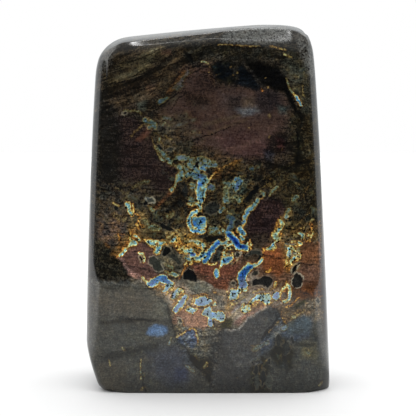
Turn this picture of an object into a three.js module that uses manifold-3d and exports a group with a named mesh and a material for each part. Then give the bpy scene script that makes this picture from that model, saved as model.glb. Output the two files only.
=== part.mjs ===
// A labradorite freeform: one piece of feldspar rock, sawn to a block, ground to a few broad faces and polished all
// over, with its corners and edges rounded by hand. It stands on a flat sawn base, with its best face to the front.
//
// Units are millimetres. +Z is up, +X is to the right of the stone seen from the front, and the front faces -Y.
// The origin is the centre of the stone's footprint box, on the surface that it stands on.
import * as THREE from "three";
import { mergeVertices } from "three/addons/utils/BufferGeometryUtils.js";
import Module from "manifold-3d";

// Driving dimensions of the block, before grinding.
const HEIGHT = 150;
const HALF_WIDTH = 48.5;
const HALF_DEPTH = 25;
const CORE = new THREE.Vector3(0, 0, 72); // a point deep inside, which every face looks away from

// Grinding.
const BLEND = 2.2; // 2 rounds an edge as a true arc, and a little more eases the arc into its faces

// How finely the solid is divided.
const COLUMNS = 24;
const ROWS = 32;
const LAYERS = 14;
const SOLVE_STEPS = 40;

// The ground faces. turn is the compass heading of the outward normal seen from above, in degrees, with 0 to the
// right and 90 to the back, and rise is its angle above the horizon. through is a point on the face. round is how far
// in from its edges the face starts to roll over, and crown is the radius of its slight dome: no face is truly flat,
// because a stone held in the hand rocks on the wheel.
const faces = [
  { name: "front", turn: -90, rise: 1.5, through: [0, -HALF_DEPTH, 0], round: 10, crown: 1100 },
  { name: "back", turn: 87, rise: 5, through: [0, HALF_DEPTH, 8], round: 13, crown: 1400 },
  { name: "left_flank", turn: 174.3, rise: 0.7, through: [-HALF_WIDTH, 0, 30], round: 11.3, crown: 3700 },
  { name: "left_foot", turn: 178, rise: -25.4, through: [-44, 0, 0], round: 4.4, crown: 2500 },
  { name: "left_heel", turn: -140, rise: -66, through: [-41, -20.5, -0.5], round: 2.6, crown: 2500 },
  { name: "right_flank", turn: 6, rise: 1.8, through: [HALF_WIDTH, 0, 2], round: 11, crown: 12000 },
  { name: "right_foot", turn: -42, rise: -24, through: [47, -21.2, 0], round: 3.6, crown: 2500 },
  { name: "right_heel", turn: -55, rise: -62, through: [45.5, -20, -0.8], round: 2, crown: 2500 },
  { name: "top", turn: 180, rise: 84.4, through: [0, 0, 147.8], round: 8.7, crown: 2200 },
  { name: "left_shoulder", turn: 180, rise: 42, through: [-44, 0, 143.8], round: 9, crown: 2500 },
  { name: "right_shoulder", turn: 0, rise: 51, through: [45, 0, 148.2], round: 10, crown: 2500 },
  { name: "top_bevel", turn: -83, rise: 40.6, through: [27, -10, 144.5], round: 2.4, crown: 2500 },
  // Below the floor, and sawn away at the end.
  { name: "block_end", turn: 0, rise: -90, through: [0, 0, -6], round: 2, crown: 2500 },
];

const radians = THREE.MathUtils.degToRad;
for (const face of faces) {
  const level = Math.cos(radians(face.rise));
  face.normal = new THREE.Vector3(
    level * Math.cos(radians(face.turn)),
    level * Math.sin(radians(face.turn)),
    Math.sin(radians(face.rise)),
  );
  face.point = new THREE.Vector3(...face.through);
}

// How far a point stands outside one face, in millimetres, with the face's slight dome.
function heightOver(face, point) {
  const offset = point.clone().sub(face.point);
  const height = offset.dot(face.normal);
  const along = offset.lengthSq() - height * height;
  return height + along / (2 * face.crown);
}

// Below 0 inside the polished stone, 0 on its skin and above 0 outside.
function skin(point) {
  let sum = 0;
  for (const face of faces) sum += Math.max(0, 1 + heightOver(face, point) / face.round) ** BLEND;
  return sum - 1;
}

// The point of the skin that lies in a direction from the core.
function skinPoint(direction) {
  let inside = 0;
  let outside = 2 * HEIGHT;
  for (let step = 0; step < SOLVE_STEPS; step++) {
    const reach = (inside + outside) / 2;
    if (skin(CORE.clone().addScaledVector(direction, reach)) < 0) inside = reach;
    else outside = reach;
  }
  return CORE.clone().addScaledVector(direction, inside);
}

// Draws a grid's lines together towards both ends of a side, where the edges roll over.
const crowd = (share) => Math.sin((share * Math.PI) / 2);

// The whole polished skin, as a closed mesh that still runs a little below the floor.
function polishedSkin() {
  const block = new THREE.BoxGeometry(2, 2, 2, COLUMNS, LAYERS, ROWS);
  block.deleteAttribute("normal");
  block.deleteAttribute("uv");
  const closed = mergeVertices(block, 1e-6);
  const position = closed.getAttribute("position");
  const corner = new THREE.Vector3();
  for (let i = 0; i < position.count; i++) {
    corner.fromBufferAttribute(position, i);
    corner.set(
      crowd(corner.x) * HALF_WIDTH,
      crowd(corner.y) * HALF_DEPTH,
      (crowd(corner.z) * HEIGHT) / 2,
    );
    position.setXYZ(i, ...skinPoint(corner.normalize()));
  }
  return closed;
}

const wasm = await Module();
wasm.setup();

function solidFrom(geometry) {
  return new wasm.Manifold(
    new wasm.Mesh({
      numProp: 3,
      vertProperties: new Float32Array(geometry.getAttribute("position").array),
      triVerts: new Uint32Array(geometry.getIndex().array),
    }),
  );
}

function geometryFrom(solid) {
  const mesh = solid.getMesh();
  return new THREE.BufferGeometry()
    .setAttribute("position", new THREE.BufferAttribute(mesh.vertProperties, 3))
    .setIndex(new THREE.BufferAttribute(mesh.triVerts, 1));
}

// The saw takes away everything below the base plane.
function sawWaste() {
  const waste = new THREE.BoxGeometry(4 * HALF_WIDTH, 8 * HALF_DEPTH, HEIGHT);
  waste.deleteAttribute("normal");
  waste.deleteAttribute("uv");
  waste.translate(0, 0, -HEIGHT / 2);
  return mergeVertices(waste, 1e-6);
}

const stoneGeometry = geometryFrom(solidFrom(polishedSkin()).subtract(solidFrom(sawWaste())));
stoneGeometry.computeBoundingBox();
const centre = stoneGeometry.boundingBox.getCenter(new THREE.Vector3());
stoneGeometry.translate(-centre.x, -centre.y, 0);
stoneGeometry.computeVertexNormals();

const labradorite = new THREE.MeshStandardMaterial({ color: 0x35322d, roughness: 0.12, metalness: 0 });

const stone = new THREE.Mesh(stoneGeometry, labradorite);
stone.name = "stone";

const freeform = new THREE.Group();
freeform.add(stone);

export default freeform;
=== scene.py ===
# %% [markdown]
# # A polished labradorite freeform
#
# The real object is one piece of feldspar rock. It was sawn to a block, ground to a few broad faces on a
# wheel, rounded by hand and polished all over, so that it stands on its sawn base with its best face to the
# front. There is nothing to assemble: the whole look is one smooth stone, and the stripes, cracks and
# coloured flash inside it.
#
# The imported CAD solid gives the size, the place and the coarse shape. Everything here is in metres in its
# frame: +X to the right of the stone, +Y towards its back and +Z up, with the origin on the table under the
# middle of the stone. Numbers that describe the stone itself are in millimetres, as a stone cutter would
# measure them.

import math

import bmesh
import bpy
import numpy as np
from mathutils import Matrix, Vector, noise


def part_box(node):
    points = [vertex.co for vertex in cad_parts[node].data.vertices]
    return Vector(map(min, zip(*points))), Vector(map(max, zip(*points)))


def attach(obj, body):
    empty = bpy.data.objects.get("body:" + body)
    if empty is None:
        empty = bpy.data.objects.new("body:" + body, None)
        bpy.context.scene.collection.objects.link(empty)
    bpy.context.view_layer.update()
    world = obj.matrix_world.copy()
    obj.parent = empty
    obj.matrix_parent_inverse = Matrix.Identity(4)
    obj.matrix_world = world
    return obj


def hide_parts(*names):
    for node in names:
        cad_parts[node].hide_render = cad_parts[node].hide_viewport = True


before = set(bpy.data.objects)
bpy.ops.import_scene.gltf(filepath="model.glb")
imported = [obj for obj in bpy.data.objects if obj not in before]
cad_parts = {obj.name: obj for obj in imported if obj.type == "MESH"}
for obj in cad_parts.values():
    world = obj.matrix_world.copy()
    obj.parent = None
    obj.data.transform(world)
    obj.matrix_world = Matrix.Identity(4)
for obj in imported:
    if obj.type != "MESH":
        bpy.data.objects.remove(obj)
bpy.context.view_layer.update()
MM = 0.001
stone_low, stone_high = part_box("stone")
print("stone box, mm:", [round(v / MM, 1) for v in (*stone_low, *stone_high)])

# %% [markdown]
# ## The camera
#
# A product picture of a small object is taken from a little way off with a long lens, so that its upright
# sides stay nearly parallel. The camera is half a metre away and only 4 degrees above the level of the
# stone's middle.

# %% Place the camera
CAMERA_DISTANCE = 0.5
CAMERA_RISE = math.radians(4)
CAMERA_LENS = 103
AIM_HEIGHT = 0.073

aim = Vector((0, 0, AIM_HEIGHT))
back_to_camera = Vector((0, -math.cos(CAMERA_RISE), math.sin(CAMERA_RISE)))
camera = bpy.data.objects.new("camera", bpy.data.cameras.new("camera"))
camera.data.lens = CAMERA_LENS
camera.data.clip_start = 0.01
camera.location = aim + back_to_camera * CAMERA_DISTANCE
camera.rotation_euler = back_to_camera.to_track_quat("Z", "Y").to_euler()
bpy.context.scene.collection.objects.link(camera)
bpy.context.scene.camera = camera
bpy.context.scene.view_settings.view_transform = "Standard"
print("camera at", [round(v, 3) for v in camera.location])

# %% [markdown]
# ## Finishes as graphs
#
# A finish in Blender is a graph of nodes, and so is the light of a room. Written out in full, each node
# takes three or four lines. So the steps that come back all the time get a helper with a short name. Every
# helper adds its node to the graph that the name `tree` stands for at the time.

# %% Start an object or a finish
def deselect_all():
    if bpy.context.mode != "OBJECT":
        bpy.ops.object.mode_set(mode="OBJECT")
    bpy.ops.object.select_all(action="DESELECT")


def new_material(name):
    material = bpy.data.materials.new(name)
    material.use_nodes = True
    return material, material.node_tree


# %% Small helpers for wiring nodes
def wire(source, socket):
    """Links an output to a socket, or sets the socket where source is a plain number or colour."""
    if isinstance(source, bpy.types.NodeSocket):
        tree.links.new(source, socket)
    else:
        socket.default_value = source


def calc(operation, *values):
    node = tree.nodes.new("ShaderNodeMath")
    node.operation = operation
    for value, socket in zip(values, node.inputs):
        wire(value, socket)
    return node.outputs[0]


def total(*values):
    result = values[0]
    for value in values[1:]:
        result = calc("ADD", result, value)
    return result


def product(*values):
    result = values[0]
    for value in values[1:]:
        result = calc("MULTIPLY", result, value)
    return result


def graded(value, start, gain):
    """The start where the value is 0, and the start plus the gain where it is 1."""
    return calc("MULTIPLY_ADD", value, gain, start)


def ramp_up(value, low, high, start=0, end=1):
    """The start below low, the end above high and a soft slope between them."""
    node = tree.nodes.new("ShaderNodeMapRange")
    node.interpolation_type = "SMOOTHSTEP"
    wire(value, node.inputs["Value"])
    wire(low, node.inputs["From Min"])
    wire(high, node.inputs["From Max"])
    wire(start, node.inputs["To Min"])
    wire(end, node.inputs["To Max"])
    return node.outputs["Result"]


def either(share, first, second):
    """The first value where share is 0, and the second where it is 1."""
    node = tree.nodes.new("ShaderNodeMix")
    node.data_type = "FLOAT"
    wire(share, node.inputs["Factor"])
    wire(first, node.inputs["A"])
    wire(second, node.inputs["B"])
    return node.outputs["Result"]


def tinted(share, below, above, how="MIX"):
    """The colour below where share is 0, and the colour above where it is 1."""
    node = tree.nodes.new("ShaderNodeMix")
    node.data_type = "RGBA"
    node.blend_type = how
    wire(share, node.inputs["Factor"])
    wire(below, node.inputs[6])
    wire(above, node.inputs[7])
    return node.outputs[2]


# %% [markdown]
# ## The studio
#
# A polished stone is a dark mirror, so most of what its edges show is the room. The room here is the usual
# one for such pictures: a white table, white cloth to the sides and behind, a lamp with a glowing frame
# hanging overhead, a white card at the left, and nothing bright behind the camera. The flat front face then
# mirrors the dark side of the room in its upper part and the white table in its lower part, while the
# rounded edges turn away and mirror the cloth and the lamp.
#
# The cloth is painted on the world as a gradient by direction, which costs no geometry. Rays that come
# straight from the camera see plain white instead, and matt surfaces get a soft, even light from above.

# %% The table
TABLE_SIZE = 8.0
TABLE_ROUGHNESS = 0.7
TABLE_WHITE = 0.82
# Only the polish sees the table in these two values: darker in front as painted shade, and brighter beside
# and behind as painted light.
TABLE_WHITE_MIRRORED = 0.4  # in front of the stone, where the camera and its owner stand in the light
TABLE_BRIGHT_MIRRORED = 1.3  # beside and behind it, under the cloth
SHADE_ENDS = (0.03, 0.2)  # how far to the side or the back, in metres

deselect_all()
bpy.ops.mesh.primitive_plane_add(size=TABLE_SIZE, location=(0, 0, 0))
table = bpy.context.object
table.name = "table"
table_finish, tree = new_material("white_table")
table.data.materials.append(table_finish)
table_shader = tree.nodes["Principled BSDF"]
table_shader.inputs["Roughness"].default_value = TABLE_ROUGHNESS
table_place = tree.nodes.new("ShaderNodeTexCoord")
on_table = tree.nodes.new("ShaderNodeSeparateXYZ")
wire(table_place.outputs["Object"], on_table.inputs[0])
away = total(calc("ABSOLUTE", on_table.outputs["X"]), on_table.outputs["Y"])
white_mirrored = ramp_up(away, *SHADE_ENDS, TABLE_WHITE_MIRRORED, TABLE_BRIGHT_MIRRORED)
table_seen = tree.nodes.new("ShaderNodeLightPath")
plain_white = (TABLE_WHITE, TABLE_WHITE, TABLE_WHITE, 1)
table_colour = tinted(table_seen.outputs["Is Glossy Ray"], plain_white, white_mirrored)
wire(table_colour, table_shader.inputs["Base Color"])
print("table:", TABLE_SIZE, "m across")

# %% The white cloth all round, as a world
# How far towards the back the direction looks, from -1 in front to 1 behind, and how bright the cloth is
# there.
CLOTH_STOPS = [(-1.0, 0.02), (-0.4, 0.02), (-0.15, 0.2), (-0.02, 1.3), (0.3, 1.2), (0.7, 1.0), (1.0, 0.7)]
CLOTH_BRIGHTEST = 10  # the top of the curve's scale
CLOTH_LEAN = 0.3  # the edge of the cloth leans back overhead
CLOTH_TOP = (0.3, 0.9)  # how far up the direction looks where the cloth gets lit from close by
CLOTH_TOP_GAIN = 1.7
CEILING = (0.3, 0.95)  # and where the dim ceiling in front of the cloth begins
CEILING_LIGHT = 0.5
MIRRORED_TINT = (0.95, 0.985, 1.0, 1)  # daylight, so the polish looks a little cooler than the table
# What matt surfaces get instead: this much from level directions, and this much more from straight above.
MATT_LOW = 0.25
MATT_RISE = 1.5

world = bpy.data.worlds.new("white_tent")
world.use_nodes = True
bpy.context.scene.world = world
tree = world.node_tree
direction = tree.nodes.new("ShaderNodeTexCoord")
looking = tree.nodes.new("ShaderNodeSeparateXYZ")
wire(direction.outputs["Generated"], looking.inputs[0])
upwards = looking.outputs["Z"]
leaning = calc("MULTIPLY_ADD", calc("MAXIMUM", upwards, 0), -CLOTH_LEAN, looking.outputs["Y"])

cloth = tree.nodes.new("ShaderNodeFloatCurve")
cloth.mapping.clip_min_x, cloth.mapping.clip_max_x = -1, 1
cloth.mapping.clip_min_y, cloth.mapping.clip_max_y = 0, CLOTH_BRIGHTEST
curve = cloth.mapping.curves[0]
curve.points[0].location = CLOTH_STOPS[0]
curve.points[1].location = CLOTH_STOPS[-1]
for stop in CLOTH_STOPS[1:-1]:
    curve.points.new(*stop)
for point in curve.points:
    point.handle_type = "VECTOR"
cloth.mapping.update()
wire(leaning, cloth.inputs["Value"])
print("cloth:", len(curve.points), "stops")

# %% What the polish, matt surfaces and the camera get from the world
lit_cloth = product(cloth.outputs["Value"], ramp_up(upwards, *CLOTH_TOP, 1, 1 + CLOTH_TOP_GAIN))
in_the_polish = calc("MAXIMUM", lit_cloth, ramp_up(upwards, *CEILING, 0, CEILING_LIGHT))
on_matt = graded(upwards, MATT_LOW, MATT_RISE)
seen = tree.nodes.new("ShaderNodeLightPath")
received = either(seen.outputs["Is Diffuse Ray"], in_the_polish, on_matt)
background = tree.nodes["Background"]
wire(either(seen.outputs["Is Camera Ray"], received, 1.0), background.inputs["Strength"])
wire(tinted(seen.outputs["Is Glossy Ray"], (1, 1, 1, 1), MIRRORED_TINT), background.inputs["Color"])
print("nodes in the world:", len(tree.nodes))


# %% A flat sheet that glows
def add_sheet(name, middle, size, turn=0.0):
    """A flat sheet with its place, its size and its turn about the Y axis in its mesh."""
    deselect_all()
    bpy.ops.mesh.primitive_plane_add(size=1, rotation=(0, turn, 0), location=middle)
    sheet = bpy.context.object
    sheet.name = name
    sheet.scale = (*size, 1)
    bpy.ops.object.transform_apply(location=True, rotation=True, scale=True)
    return sheet


def shine(item, strength):
    """Makes a stage object glow: it lights the stone and shows in its polish, but not to the camera."""
    glow, tree = new_material(item.name + "_glow")
    shader = tree.nodes["Principled BSDF"]
    shader.inputs["Base Color"].default_value = (0, 0, 0, 1)
    shader.inputs["Emission Color"].default_value = (1, 1, 1, 1)
    shader.inputs["Emission Strength"].default_value = strength
    item.data.materials.append(glow)
    item.visible_camera = False


# %% The lamp overhead, a glowing frame that faces down
LAMP_ABOVE_AIM = 0.9
LAMP_SPAN = ((-0.182, 0.2), (-0.392, 0.15))  # across, and from front to back, from traced highlights
LAMP_CORNER = 0.09
LAMP_CORNER_SEGMENTS = 8
LAMP_TUBE = 0.009
LAMP_GLOW = 16

(left, right), (fore, aft) = LAMP_SPAN
lamp_middle = ((left + right) / 2, (fore + aft) / 2, AIM_HEIGHT + LAMP_ABOVE_AIM)
lamp = add_sheet("frame_lamp", lamp_middle, (right - left, aft - fore))
bpy.ops.object.mode_set(mode="EDIT")
bpy.ops.mesh.select_all(action="SELECT")
bpy.ops.mesh.bevel(offset=LAMP_CORNER, segments=LAMP_CORNER_SEGMENTS, affect="VERTICES")
bpy.ops.mesh.select_all(action="SELECT")
bpy.ops.mesh.inset(thickness=LAMP_TUBE)
bpy.ops.mesh.delete(type="FACE")
bpy.ops.object.mode_set(mode="OBJECT")
shine(lamp, LAMP_GLOW)
print("lamp frame:", len(lamp.data.polygons), "faces")

# %% A white card at the upper left, which only the polish shows
CARD_AWAY = 0.8
CARD_SPAN = ((-0.6, 0.4), (0.42, 1.9))  # from front to back, and from bottom to top
CARD_GLOW = 1.9

(fore, aft), (low, high) = CARD_SPAN
card_middle = (-CARD_AWAY, (fore + aft) / 2, (low + high) / 2)
card = add_sheet("white_card", card_middle, (high - low, aft - fore), math.radians(90))
card.visible_diffuse = False
shine(card, CARD_GLOW)
print("card:", round(aft - fore, 2), "by", round(high - low, 2), "m")

# %% [markdown]
# ## The shape of the stone
#
# A cutter grinds one broad face after another, and the wheel and the polishing belt roll every edge over.
# The same thing is written here as a rule: each ground face has a heading, a rise, a point that it passes
# through, a slight dome and a width over which it rolls into its neighbours. A point lies on the skin of
# the stone where the shares of all the faces add up to one. Such a rule gives perfectly smooth reflections,
# which a block with a Bevel modifier would not: its flats would meet its bevels with a visible change of
# curvature.
#
# Not all the numbers of the ground faces were chosen by hand. Those of the flanks, the feet, the top and
# the shoulders were fitted by a program to the outline that the stone should have from the front, and then
# rounded. So was the left heel, before it was written anew, and the top bevel comes from a random
# search.
#
# The body starts as a cube cut into an even grid. The front is cut three times as fine, because it carries
# the finest pattern. Then every point of the grid is pushed out to the skin.

# %% The ground faces
BLEND = 2.2  # 2 rolls an edge over as a true arc, and a little more eases the arc into its faces
GROUND_FACES = [  # name, heading and rise in degrees, a point on it, roll-over width, radius of its dome
    ("front", -90, 1.5, (0, -25, 0), 10, 1100),
    ("back", 87, 5, (0, 25, 8), 13, 1400),
    ("left_flank", 174.3, 0.7, (-48.5, 0, 30), 11.3, 3700),
    ("left_foot", 178, -25.4, (-44, 0, 0), 4.4, 2500),
    ("left_heel", -140, -66, (-41, -20.5, -0.5), 2.6, 2500),
    ("right_flank", 6, 1.8, (48.5, 0, 2), 11, 12000),
    ("right_foot", -42, -24, (47, -21.2, 0), 3.6, 2500),
    ("right_heel", -55, -62, (45.5, -20, -0.8), 2, 2500),
    ("top", 180, 84.4, (0, 0, 147.8), 8.7, 2200),
    ("left_shoulder", 180, 42, (-44, 0, 143.8), 9, 2500),
    ("right_shoulder", 0, 51, (45, 0, 148.2), 10, 2500),
    ("top_bevel", -83, 40.6, (27, -10, 144.5), 2.4, 2500),
]


def face_normal(heading, rise):
    heading, rise = math.radians(heading), math.radians(rise)
    level = math.cos(rise)
    return np.array([level * math.cos(heading), level * math.sin(heading), math.sin(rise)])


def skin(points):
    """Below 0 inside the stone, 0 on its skin and above 0 outside, and its slope. Points are in mm."""
    value = np.full(len(points), -1.0)
    slope = np.zeros_like(points)
    for _name, heading, rise, through, roll, dome in GROUND_FACES:
        normal = face_normal(heading, rise)
        offset = points - np.array(through, float)
        height = offset @ normal
        along = (offset ** 2).sum(1) - height ** 2
        share = np.maximum(0, 1 + (height + along / (2 * dome)) / roll)
        value += share ** BLEND
        steep = BLEND * share ** (BLEND - 1) / roll
        slope += steep[:, None] * (normal + (offset - height[:, None] * normal) / dome)
    return value, slope


print("ground faces:", len(GROUND_FACES))

# %% From a point inside out to the skin
FAR_OUTSIDE = 300.0  # millimetres, past the skin from anywhere inside
SOLVE_STEPS = 40  # each step halves the doubt
TINY = 1e-9


def push_to_skin(origins, directions):
    """The points of the skin that are met from the origins along the directions."""
    inside = np.zeros(len(origins))
    outside = np.full(len(origins), FAR_OUTSIDE)
    for _step in range(SOLVE_STEPS):
        reach = (inside + outside) / 2
        value, _slope = skin(origins + directions * reach[:, None])
        inside = np.where(value < 0, reach, inside)
        outside = np.where(value < 0, outside, reach)
    return origins + directions * inside[:, None]


# %% A cube with an even grid
HALF_BLOCK = (48.5, 25.0)
BLOCK_HEIGHT = 150.0
CUTS = {0: 89, 1: 17, 2: 100}  # how many cuts across each axis
FRONT_CUTS = 2  # and how many more across each face of the front

deselect_all()
bpy.ops.mesh.primitive_cube_add(size=1, location=(0, 0, 0))
stone = bpy.context.object
stone.name = "polished_stone"
bpy.ops.object.mode_set(mode="EDIT")
for axis, cuts in CUTS.items():
    grid = bmesh.from_edit_mesh(stone.data)
    bpy.ops.mesh.select_mode(type="EDGE")
    bpy.ops.mesh.select_all(action="DESELECT")
    for edge in grid.edges:
        run = edge.verts[1].co - edge.verts[0].co
        edge.select = abs(run[axis]) > 0.5 * run.length
    bmesh.update_edit_mesh(stone.data)
    bpy.ops.mesh.subdivide(number_cuts=cuts)
print("even grid:", len(bmesh.from_edit_mesh(stone.data).faces), "faces before the front is refined")

# %% Three times as fine on the front
bpy.ops.mesh.select_mode(type="FACE")
bpy.ops.mesh.select_all(action="DESELECT")
grid = bmesh.from_edit_mesh(stone.data)
for face in grid.faces:
    face.select = face.normal.y < -0.5
bmesh.update_edit_mesh(stone.data)
bpy.ops.mesh.subdivide(number_cuts=FRONT_CUTS)
bpy.ops.object.mode_set(mode="OBJECT")
print("refined grid:", len(stone.data.polygons), "faces")


# %% Push the grid out to the skin
def places_of(target):
    """The places of a mesh's points, one row each."""
    places = np.empty(len(target.data.vertices) * 3)
    target.data.vertices.foreach_get("co", places)
    return places.reshape(-1, 3)


ON_BASE_BELOW = -0.9999  # of the cube's half height, just above its lowest points
# Each point is pushed outwards from its own place on a smaller, flat block inside the stone, so that the
# grid stays nearly square on the front. Low down the rows stay level, and the lowest one is the sawn rim.
INNER_WIDTH = 0.8  # of the block's width
INNER_FROM = 100.0  # millimetres up, where it starts to stay behind the block
INNER_RISE = 0.7  # how much of each millimetre above that it keeps
RING_LEAST = 1e-6  # keeps the middle of the base from a division by 0

share = places_of(stone) * 2  # -1 to 1 on each side of the cube
block = np.column_stack([
    share[:, 0] * HALF_BLOCK[0],
    np.sin(share[:, 1] * math.pi / 2) * HALF_BLOCK[1],  # rows drawn together towards both edges
    (share[:, 2] + 1) / 2 * BLOCK_HEIGHT,
])
on_base = share[:, 2] < ON_BASE_BELOW
ring = np.maximum(np.abs(share[:, 0]), np.abs(share[:, 1]))
block[on_base] /= np.maximum(ring[on_base], RING_LEAST)[:, None]
inner = block * np.array([INNER_WIDTH, 0, 1])
inner[:, 2] -= (1 - INNER_RISE) * np.maximum(block[:, 2] - INNER_FROM, 0)
directions = block - inner
directions /= np.maximum(np.linalg.norm(directions, axis=1), TINY)[:, None]
skin_points = push_to_skin(inner, directions)
skin_points[on_base, :2] *= ring[on_base, None]
skin_points[on_base, 2] = 0
print("the inner block lies inside the skin:", bool((skin(inner)[0] < 0).all()))

# %% Stand the stone where the CAD solid stands
footing = np.array((stone_low + stone_high) / 2) / MM
shift = (skin_points.min(0) + skin_points.max(0)) / 2 - footing
shift[2] = -stone_low.z / MM
stone.data.vertices.foreach_set("co", ((skin_points - shift) * MM).ravel())
stone.data.update()
print("skin spans, mm:", (skin_points.max(0) - skin_points.min(0)).round(2), "shifted by", shift.round(2))

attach(stone, "root")
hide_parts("stone")

# %% Ease the sawn rim
# A sharp rim would chip, so it is taken off with a few strokes on the belt.
RIM_EASE = 0.35  # millimetres
RIM_SEGMENTS = 2
BASE_LEVEL = 1e-6  # metres: what lies below this is on the base

deselect_all()
stone.select_set(True)
bpy.context.view_layer.objects.active = stone
bpy.ops.object.mode_set(mode="EDIT")
bpy.ops.mesh.select_mode(type="EDGE")
bpy.ops.mesh.select_all(action="DESELECT")
grid = bmesh.from_edit_mesh(stone.data)
for edge in grid.edges:
    levels = [face.calc_center_median().z for face in edge.link_faces]
    edge.select = min(levels) < BASE_LEVEL < max(levels)
bmesh.update_edit_mesh(stone.data)
bpy.ops.mesh.bevel(offset=RIM_EASE * MM, segments=RIM_SEGMENTS)
bpy.ops.object.mode_set(mode="OBJECT")
stone.data.calc_loop_triangles()
print("with its eased rim the stone has", len(stone.data.loop_triangles), "triangles")

# %% Smooth shading that follows the rule exactly
points = places_of(stone) / MM
_value, slopes = skin(points + shift)
slopes /= np.maximum(np.linalg.norm(slopes, axis=1), TINY)[:, None]
above_rim = np.clip(points[:, 2] / RIM_EASE, 0, 1)[:, None]
slopes = above_rim * slopes + (1 - above_rim) * np.array([0, 0, -1])  # the base itself faces straight down
slopes /= np.linalg.norm(slopes, axis=1)[:, None]
stone.data.shade_smooth()
stone.data.normals_split_custom_set_from_vertices(slopes)
print("shading set on", len(slopes), "points")

# %% [markdown]
# ## The pattern inside the stone
#
# Labradorite grew as thin layers of two feldspars. Light that comes back from the layers is coloured by
# their thickness, so the flash lies in bands like the contour lines of a map: royal blue where the layers
# are thinnest, then sky blue, teal, cream, gold, orange and copper, and at last the plain brown or grey
# rock. That order is the key to the look. So the flash isn't painted in colours. It is painted as a height,
# in strokes with a soft rim, and one colour ramp turns the height into all the bands at once, which then
# follow each other as closely as they do in the rock.
#
# Around the flash lies the plain rock in zones of its own tint, with hairline cracks and with dark grains,
# some of which have a pale rim. All of these are laid out as outlines and strokes on the front face, in
# millimetres across and up, and then stored on the points of the mesh. The finer grain comes later, from
# the material.

# %% Which points are on the front
FACING_FROM = 0.12  # how far the skin has to face the front, of 1, before the pattern shows
FACING_SPAN = 0.4  # and over how much more it comes in fully

facing = np.clip((-slopes[:, 1] - FACING_FROM) / FACING_SPAN, 0, 1)
front = np.flatnonzero(facing > 0)
print("points on the front:", len(front))

# %% A grown, uneven course for what is drawn
WOBBLES = [(9, 0.5), (2.8, 0.36), (1.1, 0.34)]  # size and amount, in millimetres
WOBBLE_APART = (17.3, 5.1, 29.7)  # takes each wobble from another part of the noise


def wobble(points, size, amount, number):
    """Shifts points by smooth noise."""
    offset = Vector([number * v for v in WOBBLE_APART])
    moved = points.copy()
    for i, point in enumerate(points):
        moved[i] += np.array(noise.noise_vector(Vector(point) / size + offset)) * amount
    return moved


noise.seed_set(7)
grown = points[front]
for number, (size, amount) in enumerate(WOBBLES, start=1):
    grown = wobble(grown, size, amount, number)
across, up = grown[:, 0], grown[:, 2]
print("moved by up to", np.abs(grown - points[front]).max().round(2), "mm")


# %% How strokes and outlines become numbers on the points
def points_of(text):
    """'3,4 5,6' as an array of points across and up."""
    return np.array([[float(v) for v in pair.split(",")] for pair in text.split()])


def near(drawn, margin):
    """Indices of the front points that lie in the box around some drawn points."""
    low, high = drawn.min(0) - margin, drawn.max(0) + margin
    return np.flatnonzero((across > low[0]) & (across < high[0]) & (up > low[1]) & (up < high[1]))


def line_distance(index, line, closed=False):
    """Distance from some of the front points to a drawn line."""
    spots = np.column_stack([across[index], up[index]])
    ends = np.roll(line, -1, axis=0) if closed else line[1:]
    starts = line if closed else line[:-1]
    nearest = np.full(len(spots), np.inf)
    for start, end in zip(starts, ends):
        run = end - start
        along = np.clip(((spots - start) @ run) / max(run @ run, TINY), 0, 1)
        gap = spots - start - along[:, None] * run
        nearest = np.minimum(nearest, np.hypot(gap[:, 0], gap[:, 1]))
    return nearest


def outline_depth(index, outline):
    """How deep each point lies inside a drawn outline, and below 0 outside it."""
    depth = line_distance(index, outline, closed=True)
    x, z = across[index], up[index]
    inside = np.zeros(len(index), bool)
    for (ax, az), (bx, bz) in zip(outline, np.roll(outline, -1, axis=0)):
        if az != bz:
            inside ^= ((az > z) != (bz > z)) & (x < (bx - ax) * (z - az) / (bz - az) + ax)
    return np.where(inside, depth, -depth)


def soft_share(index, outline, soft):
    """1 inside a drawn outline, 0 outside it and a soft edge between the two."""
    share = np.clip(0.5 + outline_depth(index, outline) / (2 * soft), 0, 1)
    return share * share * (3 - 2 * share)


# %% [markdown]
# ### The plain rock
#
# Each zone is an outline with a tint, the width of its soft edge, and how fully it covers what lies below.
# They are laid one over another like washes of paint, the large ones first. The tints were chosen with a
# list of measured colours in view.

# %% Zones of plain rock
def tint(r, g, b):
    """A colour as it is read on a screen, turned into the light values that Blender works in."""
    return tuple((v / 255 / 12.92) if v <= 10 else ((v / 255 + 0.055) / 1.055) ** 2.4 for v in (r, g, b))


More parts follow.
